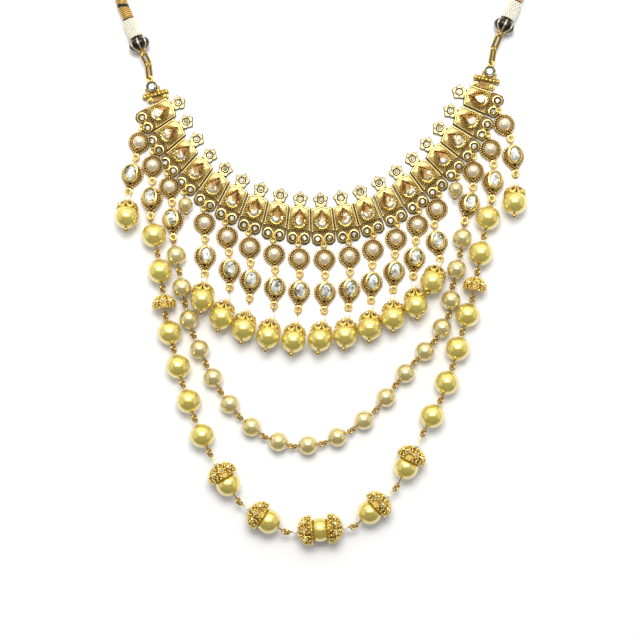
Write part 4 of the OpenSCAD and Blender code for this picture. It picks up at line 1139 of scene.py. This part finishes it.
wide_cap = (*filigree(6.0, 5.3, 3.6, 0.6, 9), moved([seed(2.0, 1.15, 16, 9)], -10.1, 0, 0))
empty_dome = filigree(4.8, 4.8, 0.0, 0.5, 8)
outer_metal, outer_pearls, wide_caps, wide_gold, wide_gems = [], [], [], [], []
domes, dome_gold, dome_gems, outer_seeds = [], [], [], []
for number, axes, base, length in spans(outer_joints):
    kind = outer_kinds[number]
    outer_metal += placed(eye_pin(length, number == len(outer_joints) - 2), axes, base)
    middle = base + middle_shares.get(kind, 0.5) * length * axes[:, 0]
    if "dome" not in kind:
        outer_pearls += placed(pearl_of(large_pearl, number), axes, middle)
    for kinds, way, targets, sources in (
        (("first", "both"), 1.0, (wide_caps, wide_gold, wide_gems, outer_seeds), wide_cap),
        (("last", "both"), -1.0, (wide_caps, wide_gold, wide_gems, outer_seeds), wide_cap),
        (("left dome",), 1.0, (domes, dome_gold, dome_gems), empty_dome),
        (("right dome",), -1.0, (domes, dome_gold, dome_gems), empty_dome),
    ):
        if kind in kinds:
            for target, source in zip(targets, sources):
                target += placed(source, axes @ np.diag([way, way, 1.0]), middle)
settled("outer_eye_pins", [(wire_gold, outer_metal)], "wire_gold", "outer_strand_pins")
settled("golden_strand_pearls", [(gold_nacre, outer_pearls)], "gold_pearl", "outer_strand_pearls",
    crease=60.0)
settled("wide_filigree_caps", [(cap_gold, wide_caps + wide_gold)], "bright_gold", "outer_strand_caps")
settled("filigree_domes", [(cap_gold, domes + dome_gold)], "bright_gold", "dome_caps")
settled("filigree_stones", [(small_glass, wide_gems + dome_gems)], "clear_stone", crease=0)
settled("strand_seed_beads", [(white_glass, outer_seeds)], "white_beads", crease=60.0)


# The end pieces: a granulated gold bar stands at each end of the collar, with a round stone in a
# plain collet above it and two small rings below.
end_stones = []
stone_spot = (-0.6, 3.2, 0)
for side, panel, mirror, spot, turn, deep in (
    ("left", 1, 1.0, (-half_width(0) - 3.2, 2.1), 75, -3.1),
    ("right", 19, -1.0, (-half_width(0) - 4.3, -0.2), 81, -4.0),
):
    beside, middle = seat_of(panel)
    beside = beside @ np.diag([mirror, 1.0, 1.0])
    axes = beside @ spun(turn)
    base = beside @ np.array([*spot, 0.0]) + middle
    # Painted shade: the bar and gusset are dark at their feet. The block is dark all over.
    bar = relief(edge_at([(-5.3, -0.9), (5.3, -0.9), (5.3, 0.9), (-5.3, 0.9)], 5),
        [(0.15, 0.02, 1), (0, 0.2, 1), (0, 1.3, 0.7), (0.2, 1.55, 0.5)])
    gusset = relief(edge_at([(-3.6, 0.2), (2.6, 0.2), (1.0, 3.2), (-2.2, 3.2)], 5),
        [(0.1, 0.05, 1), (0, 0.2, 1), (0, 1.2, 0.6), (0.2, 1.4, 0.3)])
    grains = [ball(0.85 if abs(x) < 4 else 1.05, (x, -0.2, 1.7), 16, 9, 0.3)
        for x in np.linspace(-4.6, 4.6, 7)]
    grains += [ball(0.45, (x, 0.75, 1.7), 10, 6, 0.3) for x in np.linspace(-4.7, 4.7, 13)]
    grains += [ball(0.4, (-0.6 + 3 * s * np.cos(a), 3.2 - 3 * np.sin(a), 1.3), 10, 6)
        for s in (-1, 1) for a in np.radians([10, 30, 50])]
    cup = moved([relief(round_at(2.5, 48),
        [(0.1, 0.05, 1), (0, 0.3, 0.8), (0, 2.3, 0.1), (0.1, 2.7, 0), (0.28, 2.78, 0),
            (0.42, 2.6, 0.3), (0.5, 2, 1)])], *stone_spot)
    top_ring = moved([loop(1.0, 0.74)], -0.6, 6.7, joint_height)
    low_rings = []
    for x in (-2.8, 3.8):
        low_rings += moved([loop(0.95, 0.7)], x, deep + 1.2, 1.225)
        low_rings.append(ball(0.95, (x, deep + 1.2, 1.5), 16, 9))
    block = relief(edge_at([(-1.7, deep), (2.7, deep), (2.9, -0.7), (-1.9, -0.7)], 5),
        [(0.1, 0.05, 1), (0, 0.3, 1), (0, 0.8, 1), (0.2, 1, 0.8), (0.6, 0.95, 0.85)])
    settled("granulated_bar_" + side, [
        (setting_gold, placed([bar, gusset, block], axes, base)),
        (bright_gold, placed(grains + cup + top_ring + low_rings, axes, base)),
    ], "setting_gold", "end_piece_" + side)
    end_stone = cut_stone(round_at(2.02, 12),
        [(0.6, 1.8), (0, 2.4), (0.03, 2.55), (0.4, 3), (0.95, 3.25)])
    end_stones += placed(moved([end_stone], *stone_spot), axes, base)
blue_glass = clear_cut("blue grey foiled glass", "CCD8E0", "1E2A34", 0.05, 0.7)
settled("round_end_stones", [(blue_glass, end_stones)], "clear_stone", "end_stones", crease=0)


# The table: a plain white surface under soft studio light, a large lamp above the head of the
# necklace and weaker ones at its sides.
floor_mesh = bpy.data.meshes.new("table")
floor_corners = [(-1.5, -1.5, 0), (1.5, -1.5, 0), (1.5, 1.5, 0), (-1.5, 1.5, 0)]
floor_mesh.from_pydata(floor_corners, [], [(0, 1, 2, 3)])
floor = stood("table", floor_mesh)
floor_paper, floor_tree, floor_shader = fresh("white paper")
feed(floor_tree, floor_shader, {
    "Base Color": (0.95, 0.95, 0.95, 1), "Roughness": 0.9, "Specular IOR Level": 0.1})
floor_mesh.materials.append(floor_paper)
world = bpy.data.worlds.new("studio")
bpy.context.scene.world = world
world.use_nodes = True
sky = world.node_tree.nodes["Background"]
feed(world.node_tree, sky, {"Color": (0.93, 0.96, 1.0, 1), "Strength": 0.21})


def lamp(name, place, aimed, size, watts, tint):
    """A soft box: a rectangular area lamp that faces a point on the table."""
    light = bpy.data.lights.new(name, "AREA")
    light.shape = "RECTANGLE"
    light.size, light.size_y = size
    light.energy = watts
    light.color = tint
    holder = stood(name, light)
    direction = np.array(place) - np.array(aimed)
    holder.location = place
    flat = np.hypot(direction[0], direction[1])
    holder.rotation_euler = (np.arctan2(flat, direction[2]), 0, np.arctan2(direction[0], -direction[1]))


table_middle = (0, 0, 0)
cool = (0.97, 0.98, 1)
lamp("soft box", (0, 0.30, 0.72), table_middle, (0.38, 0.26), 4.3, (1, 0.99, 0.97))
lamp("ceiling", (0, 0.5, 1.1), (0, 0.2, 0), (1.8, 1.0), 5.7, (1, 1, 1))
lamp("wall above", (0, 1.1, 0.55), table_middle, (2.4, 0.9), 7.2, (1, 1, 1))
lamp("wall left", (-1.1, 0.2, 0.5), table_middle, (1.5, 0.8), 2.1, cool)
lamp("wall right", (1.1, 0.2, 0.5), table_middle, (1.5, 0.8), 2.1, cool)
bpy.context.scene.view_settings.view_transform = "Standard"
